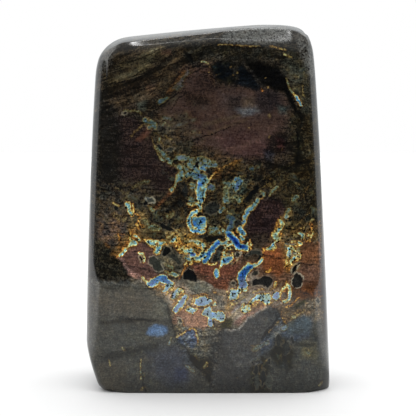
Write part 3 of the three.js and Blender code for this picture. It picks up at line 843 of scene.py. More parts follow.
# %% Strokes of flash
STROKES = [  # course, half width, rim, height, glow
    # The gold edge of the plum at the left, and the speckled teal above it.
    ("-21.5,100 -20,96 -19,94 -16,92 -13.5,91.2", 0.5, 0.8, 0.4, 0.6),
    ("-20,99 -18,96.5 -17,94.5 -15,93", 1.0, 0.9, 0.58, 0.45),
    ("-13,94 -10,94.5 -6,93.5 -3,92.5", 1.2, 1.6, 0.56, 0.36),
    ("-24,106.6 -22.6,107.6 -21.4,107", 0.6, 0.7, 0.7, 0.45),
    ("-18.6,107.4 -17.6,108.6", 0.4, 0.7, 0.6, 0.35),
    ("-21,104.8 -19.6,103.4 -18.4,101.4 -17.6,99.4", 0.3, 0.5, 0.3, 0.45),
    ("-23,102.6 -21.6,100.4 -20.4,98.6 -19.4,96.6 -18,95", 0.35, 0.6, 0.3, 0.5),
    ("-17.6,104 -16,102.6 -14,101.6", 0.3, 0.6, 0.32, 0.35),
    ("-16.4,99.6 -14.8,98.6 -13.4,96.8", 0.3, 0.6, 0.32, 0.4),
    ("-19.6,102.6 -19.4,101", 0.6, 0.9, 0.56, 0.36),
    ("-31,103 -28,106 -26,108", 0.7, 0.9, 0.24, 0.35),
    ("-34,113.5 -30,113.5 -27,112.3", 0.6, 0.8, 0.42, 0.3),
    ("-25.5,109.5 -22,108.6", 1.0, 0.9, 0.68, 0.36),
    ("-20,117.2 -17,118.8", 0.8, 0.9, 0.76, 0.24),
    ("-18,111 -15,110", 0.8, 1.3, 0.66, 0.14),
    ("-14.5,122.5 -11,125 -9,128 -7.8,129.5", 0.7, 0.9, 0.7, 0.1),
    ("-13,122 -10,124", 0.8, 0.8, 0.6, 0.1),
    ("-12.2,87.6 -12.2,85.6 -13.4,83.4 -14.9,81.6", 0.7, 0.7, 0.5, 0.7),
    ("-11.8,86.4 -13,84", 0.4, 0.5, 0.6, 0.7),
    ("-15,81.4 -18.4,78.2 -21.8,74.4", 0.4, 0.6, 0.15, 0.8),
    # The head of the blue column.
    ("-7.4,88 -5.6,88.1 -3.6,87.6 -1.8,87", 0.9, 0.8, 0.92, 0.62),
    ("-6,86.9 -3.6,86.7", 0.6, 0.7, 0.8, 0.6),
    ("-11.6,90.8 -10.8,88.8 -11,87 -11.4,86", 1.0, 0.9, 0.64, 0.6),
    ("-9.2,91 -8.4,89.6", 1.1, 0.9, 0.6, 0.52),
    ("-9,88 -8.6,86.9", 0.8, 0.7, 0.62, 0.55),
    ("-7.8,91.8 -6.6,91.2", 0.9, 0.8, 0.66, 0.6),
    ("-5,90.6 -4.4,89.4", 0.9, 0.7, 0.76, 0.62),
    ("-2.6,90.6 -1.4,89.6", 0.7, 0.6, 0.92, 0.75),
    ("-1.4,91.4 0.2,91.4", 0.9, 0.8, 0.72, 0.6),
    ("0.5,92.8 3,91.8", 1.1, 0.9, 0.62, 0.5),
    ("-4,94 -1,93.4", 1.2, 1.0, 0.56, 0.45),
    # The column, split by a crack, and the banded rock beside it.
    ("-4,86.6 -4.2,83.6 -4.2,80.4 -4.3,78.4 -3.4,76 -2.4,76 -1.8,77.4 -1,79.4 -0.8,81.6 -0.7,83.6 0.4,86 "
     "-1,86.6", 0, 0.4, 0.64, 0.85),
    ("0.4,86.2 -0.6,84.6 -0.9,82.4 -1.2,80", 0.2, 0.3, 0.54, 0.85),
    ("0.6,86.4 1.4,87.3 2.6,88", 0.5, 0.6, 0.34, 0.85),
    ("-0.1,84.6 0.3,85.4", 0.4, 0.5, 0.4, 0.8),
    ("0.6,83.2 2,82.8", 1.0, 0.9, 0.84, 0.36),
    ("-7.4,84 -5.4,84", 0.6, 0.8, 0.56, 0.6),
    ("-7,82.6 -5.4,82.7", 0.5, 0.6, 0.62, 0.55),
    ("-7.6,78.8 -5.8,78.4", 0.6, 0.6, 0.56, 0.5),
    ("-7.6,77.2 -6,77", 0.5, 0.5, 0.62, 0.5),
    ("-4.7,82 -4.6,80.4", 0.35, 0.5, 0.28, 0.8),
    ("-8,76.1 -6.4,75.8 -4.4,76.1", 0.55, 0.6, 0.42, 0.75),
    ("-7.8,75 -6,75.1", 0.35, 0.5, 0.24, 0.8),
    ("-3.5,75.2 -3.2,73.2", 0.8, 0.6, 0.62, 0.85),
    # The round eye at its foot.
    ("-4.9,73.1 -6.4,72.3 -7.6,71 -8.1,69.4 -7.6,67.6 -6.6,66 -5,65 -3.2,64.6 -1.8,65",
     0.7, 0.5, 0.84, 0.96),
    ("-6.6,72 -7.2,71.2", 0.3, 0.3, 1.0, 0.96),
    ("-6.5,70.9 -6.6,68.8 -5.6,66.8 -3.6,65.7 -1.4,66 -0.6,68.4 -1,70.6 -3,71.2", 0, 0.35, 0.78, 0.93),
    ("-5.6,69 -4,68.4 -1.6,68.2", 0.3, 0.5, 0.92, 0.9),
    ("-0.3,70 0.2,68.4", 0.7, 1.0, 0.46, 0.4),
    ("-5,64.3 -4.2,63.9", 0.4, 0.5, 0.26, 0.9),
    ("0.8,66.4 2,66.2 3.6,66.6", 0.8, 0.8, 0.56, 0.5),
    ("0.4,64.6 2.4,64.4 4.4,65", 0.8, 0.8, 0.5, 0.48),
    ("3.6,67.1 5,67.1", 0.4, 0.4, 0.3, 0.6),
    # Right of the column.
    ("11.4,85.6 12.6,85.9 13.2,85.2", 0.9, 0.7, 1.0, 0.66),
    ("12.4,84.6 12,83 11.2,82", 0.9, 0.8, 0.86, 0.6),
    ("10.4,84.4 10.2,82.8", 0.7, 0.8, 0.6, 0.5),
    ("14,86 15.2,86.7", 0.6, 0.8, 0.48, 0.4),
    ("14.2,84.8 13.6,83.8", 0.5, 0.6, 0.6, 0.5),
    ("6.8,84.6 8,84.4 8.6,83.6", 0.9, 0.9, 0.56, 0.4),
    ("7,82 7.2,80 6.8,78.2", 1.2, 1.3, 0.5, 0.4),
    ("6.4,78 7.4,77.6", 0.8, 0.7, 0.62, 0.5),
    ("5.4,79 6.2,77.6 6.4,76.4", 0.4, 0.5, 0.26, 0.6),
    ("11,79.4 12.4,78.8 13.4,79", 0.8, 0.8, 0.56, 0.5),
    ("11.8,77.6 13,77.2", 0.6, 0.6, 0.62, 0.6),
    ("10.6,76.9 12.4,76.6 13.6,77.2", 0.3, 0.4, 0.28, 0.6),
    ("4.6,73.4 5.6,74.4 6.2,75", 0.7, 0.6, 0.7, 0.6),
    ("7.4,74.8 7.8,73.8", 0.4, 0.6, 0.36, 0.5),
    ("17.6,90.4 18,90", 0.9, 0.9, 0.85, 0.2),
    ("21.6,80.4 22.4,79.7", 0.85, 0.8, 0.58, 0.55),
    ("20.2,77.6 19.2,76 18.2,74.8", 0.75, 0.6, 0.74, 0.68),
    ("17.6,74.2 16.2,73.4 15.2,72 14.4,70.6", 0.8, 0.5, 0.86, 0.78),
    ("16,73 15.4,72.1", 0.35, 0.4, 1.02, 0.8),
    ("22.2,78.5 20.6,77.6 19.2,75.6 17.8,74 16.2,72.4 15,70.8", 0.25, 0.4, 0.32, 0.8),
    ("14.4,69.4 13.6,68.4", 0.5, 0.4, 0.92, 0.75),
    ("15.2,69 14.2,67.6 13.4,66.6", 0.3, 0.4, 0.34, 0.85),
    ("8,71.4 9.4,71 10.4,70.4", 1.0, 0.9, 0.9, 0.25),
    ("9.6,69.6 9.6,68.2", 0.8, 0.7, 0.9, 0.42),
    ("9.8,67.4 9.4,66", 0.7, 0.6, 0.8, 0.42),
    ("6.2,68.8 7,68.2", 0.6, 0.6, 0.4, 0.55),
    ("6,66 7,65.2 8.6,65.2", 0.7, 0.6, 0.5, 0.62),
    ("27.8,82.6 26.6,81.4 25.8,80.6", 0.7, 0.8, 0.54, 0.42),
    ("25.4,80.6 25,79.4", 0.45, 0.6, 0.42, 0.6),
    ("24.2,84 22.6,82.4", 0.8, 1.2, 0.34, 0.28),
    ("26.8,84.4 25.2,83", 0.8, 1.2, 0.34, 0.28),
    # The royal blue heart.
    ("8.6,64.2 9.8,62.8 11,61.4 12,60 13.2,59 15.2,58.8", 1.05, 0.55, 1.24, 0.96),
    ("12.6,66.4 12.4,65.4 13.8,64.6 14.6,63.8", 0.75, 0.5, 0.84, 0.92),
    ("13.2,62.8 14,62", 0.6, 0.5, 0.8, 0.88),
    ("8.9,67.4 8.4,65.8 8.2,64.8", 0.7, 0.6, 0.78, 0.62),
    ("6.8,63.2 8.2,62 9.6,60.9 11,59.6 11.4,58.2 13,57.7 15.6,57.5 17,58.3 17.6,60 16.8,61.4",
     0.35, 0.4, 0.43, 0.96),
    ("7,62.5 8.6,61.5", 0.4, 0.4, 0.24, 0.96),
    ("15.9,60.2 16.4,59", 0.6, 0.6, 0.48, 0.92),
    ("0.2,56 1.2,57.2 2.4,58.6 3.4,59.8 4.4,60.8", 0.85, 0.5, 1.06, 0.94),
    ("5.4,60.1 6.6,60.5 7.8,61.1", 0.45, 0.5, 0.86, 0.8),
    ("1,57.4 2,57", 0.7, 0.5, 0.96, 0.8),
    ("5.4,60.6 7.6,59.6 9,60.2 9.8,60.4", 0.6, 0.6, 0.5, 0.88),
    ("6,58.4 7,59.1", 0.5, 0.5, 0.48, 0.8),
    ("7.4,57.5 6.4,56.8 6.2,55.6 6.8,55.4", 0.55, 0.5, 0.58, 0.88),
    ("9.6,57.8 8,58.1 6.6,57.6 5.6,56.2 5.5,54.6", 0.3, 0.4, 0.34, 0.88),
    ("6.6,53.4 7.6,54.2 8.8,54", 0.95, 0.5, 1.0, 0.9),
    ("5.6,53.2 5.4,52", 0.5, 0.5, 0.62, 0.85),
    ("9.7,56.6 10,55 9.4,53.3 8,52.3 6.6,52.1", 0.3, 0.4, 0.4, 0.93),
    ("5.2,51.6 4.6,50.6", 0.4, 0.5, 0.4, 0.85),
    ("3.6,49.6 3.3,48.4 3.6,47.6", 0.8, 0.6, 0.82, 0.92),
    # The crushed rock left of the heart.
    ("-13,61.4 -11.6,61.3 -11,60", 1.2, 0.9, 0.24, 0.98),
    ("-13,59.4 -12,57.9 -10.6,57", 0.9, 0.8, 0.34, 0.95),
    ("-12.6,63.6 -11.6,62.6", 0.7, 0.7, 0.26, 0.92),
    ("-14.7,61.3 -13.7,62.3 -13.2,63", 0.65, 0.5, 0.74, 0.96),
    ("-10.6,58.6 -9.6,58 -9,57", 1.1, 0.8, 0.54, 0.92),
    ("-9.6,61.2 -7,61.1 -5.4,61.4", 0.7, 0.8, 0.42, 0.6),
    ("-7.8,57.4 -6.6,57.6", 0.9, 0.7, 0.62, 0.92),
    ("-6.4,56.2 -5.4,56", 0.8, 0.6, 0.98, 0.92),
    ("-4.4,58.8 -3.2,58.4", 0.8, 0.7, 0.25, 0.96),
    ("-5,60.4 -3,60.6 -1.6,59.6 -1.4,58 -2.2,56.9", 0.6, 0.5, 0.6, 0.92),
    ("-4.4,54.4 -3,54.8 -1.8,55.6 -1,56.4", 0.75, 0.5, 0.94, 0.94),
    ("-1.2,53.2 -0.2,54 0.4,55.2 1,56.4", 0.75, 0.5, 1.04, 0.94),
    ("-7,52.2 -5.6,53.3 -4.4,53.2 -2.6,53.7 -1,55.3", 0.3, 0.4, 0.44, 0.96),
    ("-1.4,52.6 0.6,52.1 2.6,52.1 3.4,52.8", 0.3, 0.4, 0.38, 0.96),
    ("-6.4,52.7 -5.6,54", 0.55, 0.5, 0.46, 0.95),
    ("-8.8,54.6 -7.4,54", 0.8, 0.7, 0.54, 0.7),
    ("-8.2,51.4 -9.6,49.6 -10.6,47.6 -11.6,46.4", 0.55, 0.6, 0.22, 0.95),
    ("-9.4,51.6 -8.4,52.6", 0.35, 0.4, 0.42, 0.85),
    ("-14.4,48.4 -12.8,48", 0.7, 0.7, 0.64, 0.7),
    ("-17,48.8 -15.4,48.3", 0.6, 0.7, 0.48, 0.7),
    ("-16.6,51.6 -14,50.6", 0.9, 0.9, 0.44, 0.4),
    # The blue vein through the copper.
    ("21.4,53.8 21,52.7 20.2,51.9 18.8,51.3", 0.55, 0.5, 0.68, 0.92),
    ("16,52.1 17,51.5", 0.7, 0.6, 0.6, 0.85),
    # The left cluster.
    ("-32.6,75.8 -31.6,76.2 -31.2,74.6 -31,73 -30.5,71.7", 0.75, 0.6, 0.62, 0.88),
    ("-31.1,73.6 -30.9,72.6", 0.4, 0.4, 0.84, 0.88),
    ("-29.8,76 -29.7,74 -29.8,72 -30,71.3", 0.25, 0.4, 0.34, 0.88),
    ("-38,76.2 -36.8,75.4 -35.8,75.2", 0.38, 0.5, 0.36, 0.72),
    ("-28.6,72.2 -27.8,71.4 -27.6,71", 0.8, 0.8, 0.2, 0.8),
    ("-29.2,67.8 -28.4,67.2 -28.2,66.4", 0.55, 0.6, 0.28, 0.92),
    ("-27.6,69 -27,68 -26.6,67.2", 0.55, 0.6, 0.38, 0.86),
    ("-28.4,68.8 -28.6,68.2", 0.4, 0.5, 0.22, 0.92),
    ("-25.6,69 -24,67.6 -22.6,66.6 -21,66.6", 1.4, 1.4, 0.46, 0.45),
    ("-23.4,75.4 -22.8,74.4 -22,73.6", 0.7, 0.8, 0.38, 0.6),
    ("-24.6,78 -22.8,78.2 -21.8,77", 0.6, 0.8, 0.86, 0.22),
    ("-36.4,64 -35.6,63 -35.8,61.8", 0.5, 0.6, 0.26, 0.92),
    ("-35,64.2 -33.6,63.6", 0.5, 0.7, 0.18, 0.8),
    ("-31.2,64.4 -31.4,62.4 -30.6,60.8", 0.5, 0.6, 0.4, 0.92),
    ("-35,55.8 -34,57 -33.2,57.8", 0.6, 0.6, 0.6, 0.98),
    ("-33,58 -32,59 -31,60", 0.4, 0.5, 0.44, 0.98),
    ("-30.8,60.1 -30,61 -29.2,60.6", 0.8, 0.5, 0.66, 0.98),
    ("-30,63.4 -28.6,62.8 -27.8,61.8", 0.5, 0.6, 0.58, 0.96),
    ("-28.8,61 -27.4,62 -26,62.2 -24.8,61.2 -23.8,59.8 -22.2,58.8 -20.8,58", 0.3, 0.45, 0.3, 0.98),
    ("-36.6,55 -35.2,56.2 -34.6,58 -33,59.4 -32.6,60.8", 0.5, 0.6, 0.23, 0.95),
    ("-41,60.2 -40,59.2", 0.8, 1.0, 0.18, 0.7),
    ("-37,71 -34,70", 1.4, 1.4, 0.34, 0.42),
    ("-24,61 -22.8,60.4 -21.8,60.2", 0.8, 0.6, 0.6, 0.95),
    ("-23.4,61.6 -21.4,61.4 -19,61.2", 0.45, 0.6, 0.44, 0.92),
    ("-18.6,60.4 -19.6,58.8 -20.6,57.2 -20.8,56.4", 0.75, 0.5, 0.74, 0.98),
    ("-21.6,58.6 -21.8,56.6 -20.8,55.5 -19.4,56.4", 0.28, 0.4, 0.34, 0.96),
    ("-18.4,61.6 -17,60.6", 0.6, 0.6, 0.46, 0.92),
    ("-11.6,66.6 -13.4,65.2 -15,64 -16.8,62.8", 0.35, 0.4, 0.44, 0.72),
    ("-19.8,66.6 -19,67", 0.5, 0.5, 0.5, 0.4),
    ("-16.6,71.6 -14.6,72.6", 1.3, 1.3, 0.36, 0.4),
    ("-36,82 -33,80 -28,84 -24,85", 0.7, 0.8, 0.38, 0.22),
    ("-27.6,56.4 -26.4,56 -25.6,54.6 -26,52.8", 0.45, 0.5, 0.46, 0.86),
    ("-27.8,54.4 -27,53 -26.2,52.2", 0.28, 0.4, 0.28, 0.92),
    # Down the right side.
    ("34.4,78 35.4,78.8", 0.8, 0.8, 0.68, 0.42),
    ("33.8,79.6 34.2,78.4", 0.3, 0.5, 0.4, 0.4),
    ("35.2,84.4 36.4,84.2", 0.5, 0.9, 0.34, 0.3),
    ("32.4,74 31.8,72.6", 0.8, 0.8, 0.5, 0.55),
    ("31.6,71.6 31.2,70.6", 0.7, 0.7, 0.7, 0.68),
    ("29,71 29.4,70.4", 0.3, 0.5, 0.34, 0.7),
    ("29.2,69.4 29.8,68 29.4,66.8", 0.65, 0.6, 0.52, 0.82),
    ("28.8,66.4 28.2,65.4", 0.7, 0.5, 0.76, 0.88),
    ("27.2,64 27.4,62.8 28,62.4", 1.1, 0.6, 0.7, 0.86),
    ("28.2,70 27.8,67.6 26.6,65.2 25.8,63.6", 0.25, 0.4, 0.3, 0.82),
    ("29.4,64 29.4,62.4 28.6,61", 0.3, 0.5, 0.36, 0.86),
    ("26.6,60.6 27.6,61", 0.4, 0.4, 0.5, 0.92),
    ("26.2,60 25.6,59.2 24.8,58.8", 0.5, 0.4, 0.84, 0.92),
    ("24,58.2 25.6,58 26.6,58.4 27,59.4", 0.55, 0.5, 0.52, 0.96),
    ("22.4,58.4 22.8,57.6", 0.6, 0.6, 0.28, 1.0),
    ("22.2,56.8 22.3,55 22.2,53.6", 0.3, 0.5, 0.26, 0.96),
    ("26,56.8 27,57.8 27.8,58.8", 0.28, 0.4, 0.3, 0.92),
    ("31.4,59.2 33.4,59.2 35.4,59.4 36.6,59.6", 0.32, 0.5, 0.36, 0.92),
    ("32.4,58 33.8,58.2 34.4,57.8", 0.65, 0.5, 0.62, 0.96),
    ("32.6,57 32.4,55.6 32.5,54.8", 0.75, 0.5, 0.64, 0.96),
    ("34.6,54.6 33.8,53.6 33,52.6", 0.6, 0.5, 0.68, 0.96),
    ("34,55.4 35,54.8 35.6,55.6", 0.38, 0.4, 0.5, 0.92),
    ("31.6,54.4 31.4,52.4 31,50.8", 0.45, 0.6, 0.36, 0.96),
    ("32,52.2 33,52", 0.4, 0.4, 0.46, 0.92),
    ("34.4,53.2 33.2,51.2 32.6,50", 0.4, 0.5, 0.23, 0.92),
    ("36,56.6 36.9,56 37,54.8 36.2,53.8", 0.38, 0.5, 0.42, 0.92),
    ("37.4,64.2 38.6,64 38.4,62.8", 0.75, 0.7, 0.56, 0.72),
    ("36.6,60.8 37.4,60.4", 0.6, 0.6, 0.46, 0.8),
    ("35.2,61 34,61.2 33.4,60.6", 0.5, 0.7, 0.32, 0.8),
    ("41.4,68.2 42.4,67.6 42.2,66.8", 0.65, 0.7, 0.2, 0.9),
    ("42.6,66 42.4,64 41.8,62.6 41,61.4", 0.38, 0.6, 0.36, 0.8),
    ("40.4,64.4 41.2,63.6", 0.6, 0.6, 0.42, 0.8),
    ("39.8,61.2 41,61", 0.6, 0.6, 0.22, 0.86),
    ("38.8,66.8 37.6,66", 0.5, 0.6, 0.32, 0.7),
    ("34,62.4 35.6,63", 0.6, 1.0, 0.34, 0.42),
    ("22.8,48.8 24.2,48.6 25,49.4", 0.6, 0.9, 0.25, 1.0),
    ("25.4,50.6 25.2,49.8", 0.4, 0.7, 0.22, 0.96),
    # Small marks round the arc and the tip of the copper tongue.
    ("-26.4,46.4 -24.8,45", 0.5, 0.6, 0.48, 0.9),
    ("-4,21.4 -4,19.6", 0.35, 0.5, 0.3, 0.5),
    ("-14.6,23 -14.8,21.6", 0.4, 0.5, 0.4, 0.4),
    ("-15.2,21 -15.2,20", 0.4, 0.5, 0.7, 0.5),
    # Lower right, in the grey.
    ("18.6,17.4 21,19 24,21", 0.7, 1.2, 0.6, 0.3),
    ("31.6,18.8 32.8,18.2", 0.4, 0.5, 0.3, 0.5),
    ("17.4,19.2 18.4,19", 0.3, 0.4, 0.24, 0.5),
    ("39.4,17.4 41,16", 0.8, 1.2, 0.42, 0.25),
    # The smallest marks.
    ("35.9,119.4 36.4,118.2 37.1,116.8 37.6,115.8", 0.42, 0.5, 0.92, 0.85),
    ("34.6,120.8 35.4,119.8", 0.35, 0.5, 0.42, 0.85),
    ("31.4,126.4 32.6,123.6 34.2,121", 0.35, 0.5, 0.42, 0.42),
    ("38.6,124 38.2,121.6 39,119.4", 0.4, 0.5, 0.34, 0.4),
    ("21.6,122.2 22.2,121.6", 0.4, 0.6, 0.2, 0.85),
    ("23.8,123.1 24.6,122.6", 0.4, 0.6, 0.2, 0.5),
    ("24.4,111.6 25,111", 0.7, 1.0, 0.3, 0.3),
    ("-2.6,133.4 0.4,132.8", 0.35, 0.6, 0.44, 0.5),
    ("4.4,140 8,140.2 12,140.1 14.4,139.9 18,139.8 20.8,139.8", 0.3, 0.3, 0.33, 0.62),
    ("24.8,139.6 28,139.1 31.4,138.2", 0.34, 0.35, 0.34, 0.66),
    ("31.2,136.5 32.4,136 33.9,135.1", 0.45, 0.5, 0.33, 0.5),
    ("-27,13.5 -27.2,9.5 -26.8,6", 0.35, 0.4, 0.38, 0.6),
    ("-26.8,8.6 -26,7.4", 0.5, 0.6, 0.5, 0.35),
    ("-27,1.7 -25.4,2.4", 0.5, 0.6, 0.34, 0.45),
    ("-39.8,13.4 -39.6,11", 0.28, 0.35, 0.34, 0.55),
    ("-34.2,18.2 -33.2,17.6", 0.45, 0.5, 0.44, 0.45),
    ("21.2,7.8 21.7,6.6", 0.35, 0.4, 0.3, 0.6),
    ("20.4,5.6 21.6,4.6", 0.4, 0.5, 0.26, 0.4),
    ("11.2,6.2 11.8,6.5", 0.35, 0.4, 0.24, 0.5),
    ("45.4,2.6 46.2,4", 0.5, 0.6, 0.44, 0.4),
    ("-1.9,10.8 -1.1,12 -0.6,12.8", 0.15, 0.4, 0.42, 0.5),
    ("-0.5,11 -0.1,12.2", 0.35, 0.4, 0.28, 0.6),
    ("-8.4,10.8 -7.6,10", 0.5, 0.6, 0.66, 0.32),
    ("-6.4,9.4 -5.6,8.8", 0.5, 0.6, 0.66, 0.28),
    # The arc and the slanting stripes at the foot of the copper.
    ("-24.5,44 -23,45.6 -20.6,46.6 -18,47.2 -16.4,46.8 -15.4,45.6 -13.6,44.2 -15.6,43.9 -17,44.4 "
     "-19.4,44.6 -20.8,43.6 -22,42.8 -23.4,43.2", 0, 0.45, 0.88, 0.94),
    ("-19,45.8 -17.4,46.2 -16.4,45.4", 0.3, 0.5, 1.08, 0.95),
    ("-18.4,40.6 -16.8,41.2 -15.2,42.4 -14,43.5 -15.8,44 -17.2,43.6 -17.1,42.4 -18.2,41.6",
     0, 0.4, 0.74, 0.92),
    ("-14.9,37.8 -13.4,38.2 -12.8,40 -12,41.4 -11.4,42.6 -12.6,42.1 -13.8,41 -14.5,39.6",
     0, 0.4, 0.76, 0.93),
    ("-12.8,38.8 -11.6,40.4 -10.6,42", 0.4, 0.4, 0.6, 0.9),
    ("-11.6,38.6 -10.6,40.2 -9.8,42", 0.2, 0.4, 0.3, 0.85),
    ("-14.4,35.4 -13,37 -12,38.2", 0.15, 0.35, 0.3, 0.8),
    ("-14.3,33.4 -13.2,32.3 -12.1,33 -11.7,34.4 -10.4,35.2 -9.7,36.6 -9.3,38 -8.4,39.2 -9.2,39.9 "
     "-10.5,38.6 -11.9,36.8 -13.3,35", 0, 0.42, 0.95, 0.97),
    ("-9.6,33.6 -8,34.9 -6.6,34.6 -5.2,34.1 -4,34.4 -4.8,33.2 -5.8,32.5 -7.2,32.7 -8.4,33",
     0, 0.4, 0.64, 0.92),
    ("-9.4,38.6 -9.6,36.8 -8.8,35.2 -7.4,35 -6.6,36.2 -6.2,37.4 -5.4,38.6 -7,39.4", 0.12, 0.4, 0.34, 0.8),
    ("-5.2,36.4 -4.8,37.7 -3,38.7 -1.6,39 -0.5,38.1 0.6,37.8 1.5,37.3 0.2,36.4 -1.2,35.5 -2.6,35.4 -4,35.8",
     0, 0.4, 0.82, 0.93),
    ("2.1,35.8 2.9,36.1", 0.5, 0.4, 0.78, 0.9),
    ("2.4,40.4 3.2,40.3", 0.35, 0.4, 0.36, 0.8),
    # The pale blue at the tip of the copper tongue.
    ("-2.6,32.1 -1.5,33.7 -0.4,34.8 0.7,35.4 1.4,34.4 1.1,33.2 2.2,32.6 3.6,32.5 4.2,33.2 5.5,33.4 "
     "6.4,32.5 7,31 6.1,29.6 5,28.9 3.8,29.5 2.6,30.4 1.2,29.9 0.2,30.7 -0.8,31 -1.9,31.4",
     0, 0.42, 0.72, 0.93),
    ("4.6,32 5.6,31 5,30.2", 0.5, 0.8, 0.92, 0.8),
    ("0,29.4 0.4,30.1 1.5,29.9 2.1,28.4 1.4,27.2 0.5,27 -0.1,28", 0, 0.4, 0.9, 0.95),
    ("1.4,26.4 2.8,26.2", 0.7, 0.8, 0.42, 0.5),
    ("-11.6,29 -11,28.4", 0.5, 0.5, 0.5, 0.7),
    ("-10.4,29.8 -9.8,28.6 -9.6,27.6", 0.15, 0.4, 0.3, 0.8),
    ("-12.4,23.4 -10.4,24 -8.8,25.2 -7.4,26.4 -6.1,26.6 -5.1,25.4 -4.6,23.8 -4.1,22 -4.2,20.8",
     0.2, 0.3, 0.42, 0.85),
    ("-5.2,23.3 -4.9,22.7", 0.35, 0.4, 0.2, 0.8),
    # The foot of the blue vein, and the crushed rock below it.
    ("12.4,42.6 12.5,44.6 12.1,46.4 12.7,48.6 13.8,50.2 15.2,51.4 16.8,52 18.6,52.1 18.2,50.9 16.8,49.6 "
     "15.7,48.2 15.2,46.6 15.5,45 16.4,43.7 15.6,42.6 14,42.2", 0, 0.5, 1.02, 0.97),
    ("12.6,41.8 14.2,41.4 16,41.8", 0.5, 0.5, 0.44, 0.85),
    ("8.4,38.3 8.9,40 9.4,41.5 10.8,41.8 12.4,41.5 13.6,41.1 12.1,40.1 11.9,38.9 11,37.8 10,37.4 9,37.5",
     0, 0.42, 0.72, 0.95),
    ("9.6,36.5 10.2,36.2", 0.6, 0.5, 0.44, 0.8),
    ("7.6,41 8,39 7.8,36.8 8.4,35", 0.3, 0.6, 0.3, 0.75),
    # The chain along the lower right.
    ("14.2,35.8 13.7,34.2 14.1,32.9 15.1,32.6 15.9,33.3", 0.5, 0.4, 0.5, 0.93),
    ("14.7,33.3 15.1,33", 0.3, 0.3, 0.66, 0.93),
    ("16.3,34.6 16.6,33.8", 0.45, 0.45, 0.62, 0.93),
    ("17,35.8 17.3,37.4 18.4,38.5 19.6,39.6 21,40.2 23,40.2 24.7,40 25.5,38.6 24.7,36.9 23.4,36 22,36.9 "
     "20.4,37.5 19,37.3 18,36.4", 0, 0.5, 0.64, 0.95),
    ("17.7,37.1 18.6,38 19.6,38.7", 0.3, 0.4, 0.74, 0.95),
    ("25.9,38.4 26.3,40.1 27.6,41 28.8,40.3 28.8,38.5 27.6,37.6", 0, 0.45, 0.9, 0.95),
    ("29.1,39.8 29.4,41 30.6,41.6", 0.4, 0.4, 0.38, 0.93),
    ("32.5,43.2 33.1,41.8 33.2,40.2 32.8,38.6", 0.6, 0.45, 0.74, 0.95),
    ("32.6,38.2 31.6,37.2 30.4,36.8", 0.6, 0.45, 0.62, 0.93),
    ("29.5,37.2 29.1,38.4 29.1,39.6", 0.35, 0.4, 0.34, 0.93),
    ("31.6,43.8 30.6,42.6 30,41.8", 0.5, 0.5, 0.46, 0.93),
    ("31.4,46 31.2,44.6 30.8,43.6", 0.2, 0.4, 0.3, 0.85),
    ("26.9,44.4 27.2,43.4 26.7,42.8", 0.5, 0.6, 0.56, 0.93),
    ("31.6,34.8 33.4,35.5 35,36.8 36.6,38.6", 0.25, 0.5, 0.3, 0.8),
    ("29.2,33 29.4,30.6 30.6,29.4 31.4,28", 0.2, 0.4, 0.24, 0.7),
    ("33,29.7 35,31 37,32.1 38.6,33.6", 0.4, 0.6, 0.36, 0.62),
    ("33.8,30.8 34.6,31", 0.4, 0.5, 0.46, 0.6),
    ("30.4,31.8 32,32.6 33.2,33.4", 0.3, 0.6, 0.28, 0.6),
    ("30.2,26 31.4,26.8", 0.7, 0.9, 0.8, 0.4),
    ("24.4,24.8 26.4,27.2 28.6,29.2", 0.15, 0.4, 0.22, 0.6),
    # Fine gold and pink specks.
    ("20.5,8 20.7,8.4", 0.12, 0.3, 0.24, 0.55),
    ("21.6,10.2 21.8,10.8", 0.12, 0.3, 0.24, 0.5),
    ("20,5.4 20.2,5.8", 0.12, 0.3, 0.2, 0.55),
    ("22.8,6.6 23,7.4", 0.12, 0.3, 0.24, 0.5),
    ("19.4,3.6 19.6,4", 0.12, 0.3, 0.2, 0.45),
    ("23.6,12.6 23.8,13.4", 0.12, 0.3, 0.26, 0.45),
    ("22.4,2.4 22.6,2.8", 0.12, 0.3, 0.2, 0.5),
    ("30,21 30.3,21.4", 0.12, 0.3, 0.26, 0.45),
    ("33.2,20 33.4,20.6", 0.12, 0.3, 0.24, 0.45),
    ("0.6,131 0.8,131.2", 0.1, 0.3, 0.28, 0.5),
    ("0.4,128.8 0.6,129", 0.1, 0.3, 0.28, 0.5),
    ("3.6,127.8 3.8,128", 0.1, 0.3, 0.28, 0.45),
    ("9.4,130.8 9.6,131", 0.1, 0.3, 0.3, 0.45),
    ("11.8,128.6 12,128.8", 0.1, 0.3, 0.3, 0.45),
    ("10.2,127.6 10.4,127.8", 0.1, 0.3, 0.28, 0.45),
    ("23,127 23.2,127.3", 0.1, 0.3, 0.28, 0.3),
    ("-3.4,104.8 -3.2,105", 0.1, 0.3, 0.28, 0.4),
    ("16.4,106.6 16.6,106.8", 0.1, 0.3, 0.28, 0.35),
    ("24.6,102.8 24.9,103.4", 0.1, 0.3, 0.3, 0.45),
    ("29.6,97.8 29.8,98.4", 0.1, 0.3, 0.3, 0.4),
    # Thin cream and gold lines between the stripes, and along the chain.
    ("-17,39.6 -15.4,40.8 -13.8,42.6", 0.12, 0.35, 0.36, 0.85),
    ("-12.2,37.2 -10.8,39.2 -9.4,41.2", 0.12, 0.35, 0.38, 0.85),
    ("-12.2,32.6 -10.8,34.4 -9.2,36.6 -8,38.6", 0.12, 0.35, 0.4, 0.85),
    ("-21,42.4 -19.6,43.2 -18,42.8", 0.12, 0.35, 0.34, 0.8),
    ("-6.6,39.4 -4.6,39.6 -2.4,39.8 0,39.2", 0.12, 0.35, 0.3, 0.8),
    ("8.8,33.4 11,35.6 13.4,37.8 15,38.8", 0.12, 0.4, 0.38, 0.6),
    ("10.4,32 12.6,34 14.8,36.6", 0.1, 0.35, 0.34, 0.55),
    ("16.4,32.6 18.4,34 21,35.4 23.6,35.8", 0.12, 0.35, 0.24, 0.75),
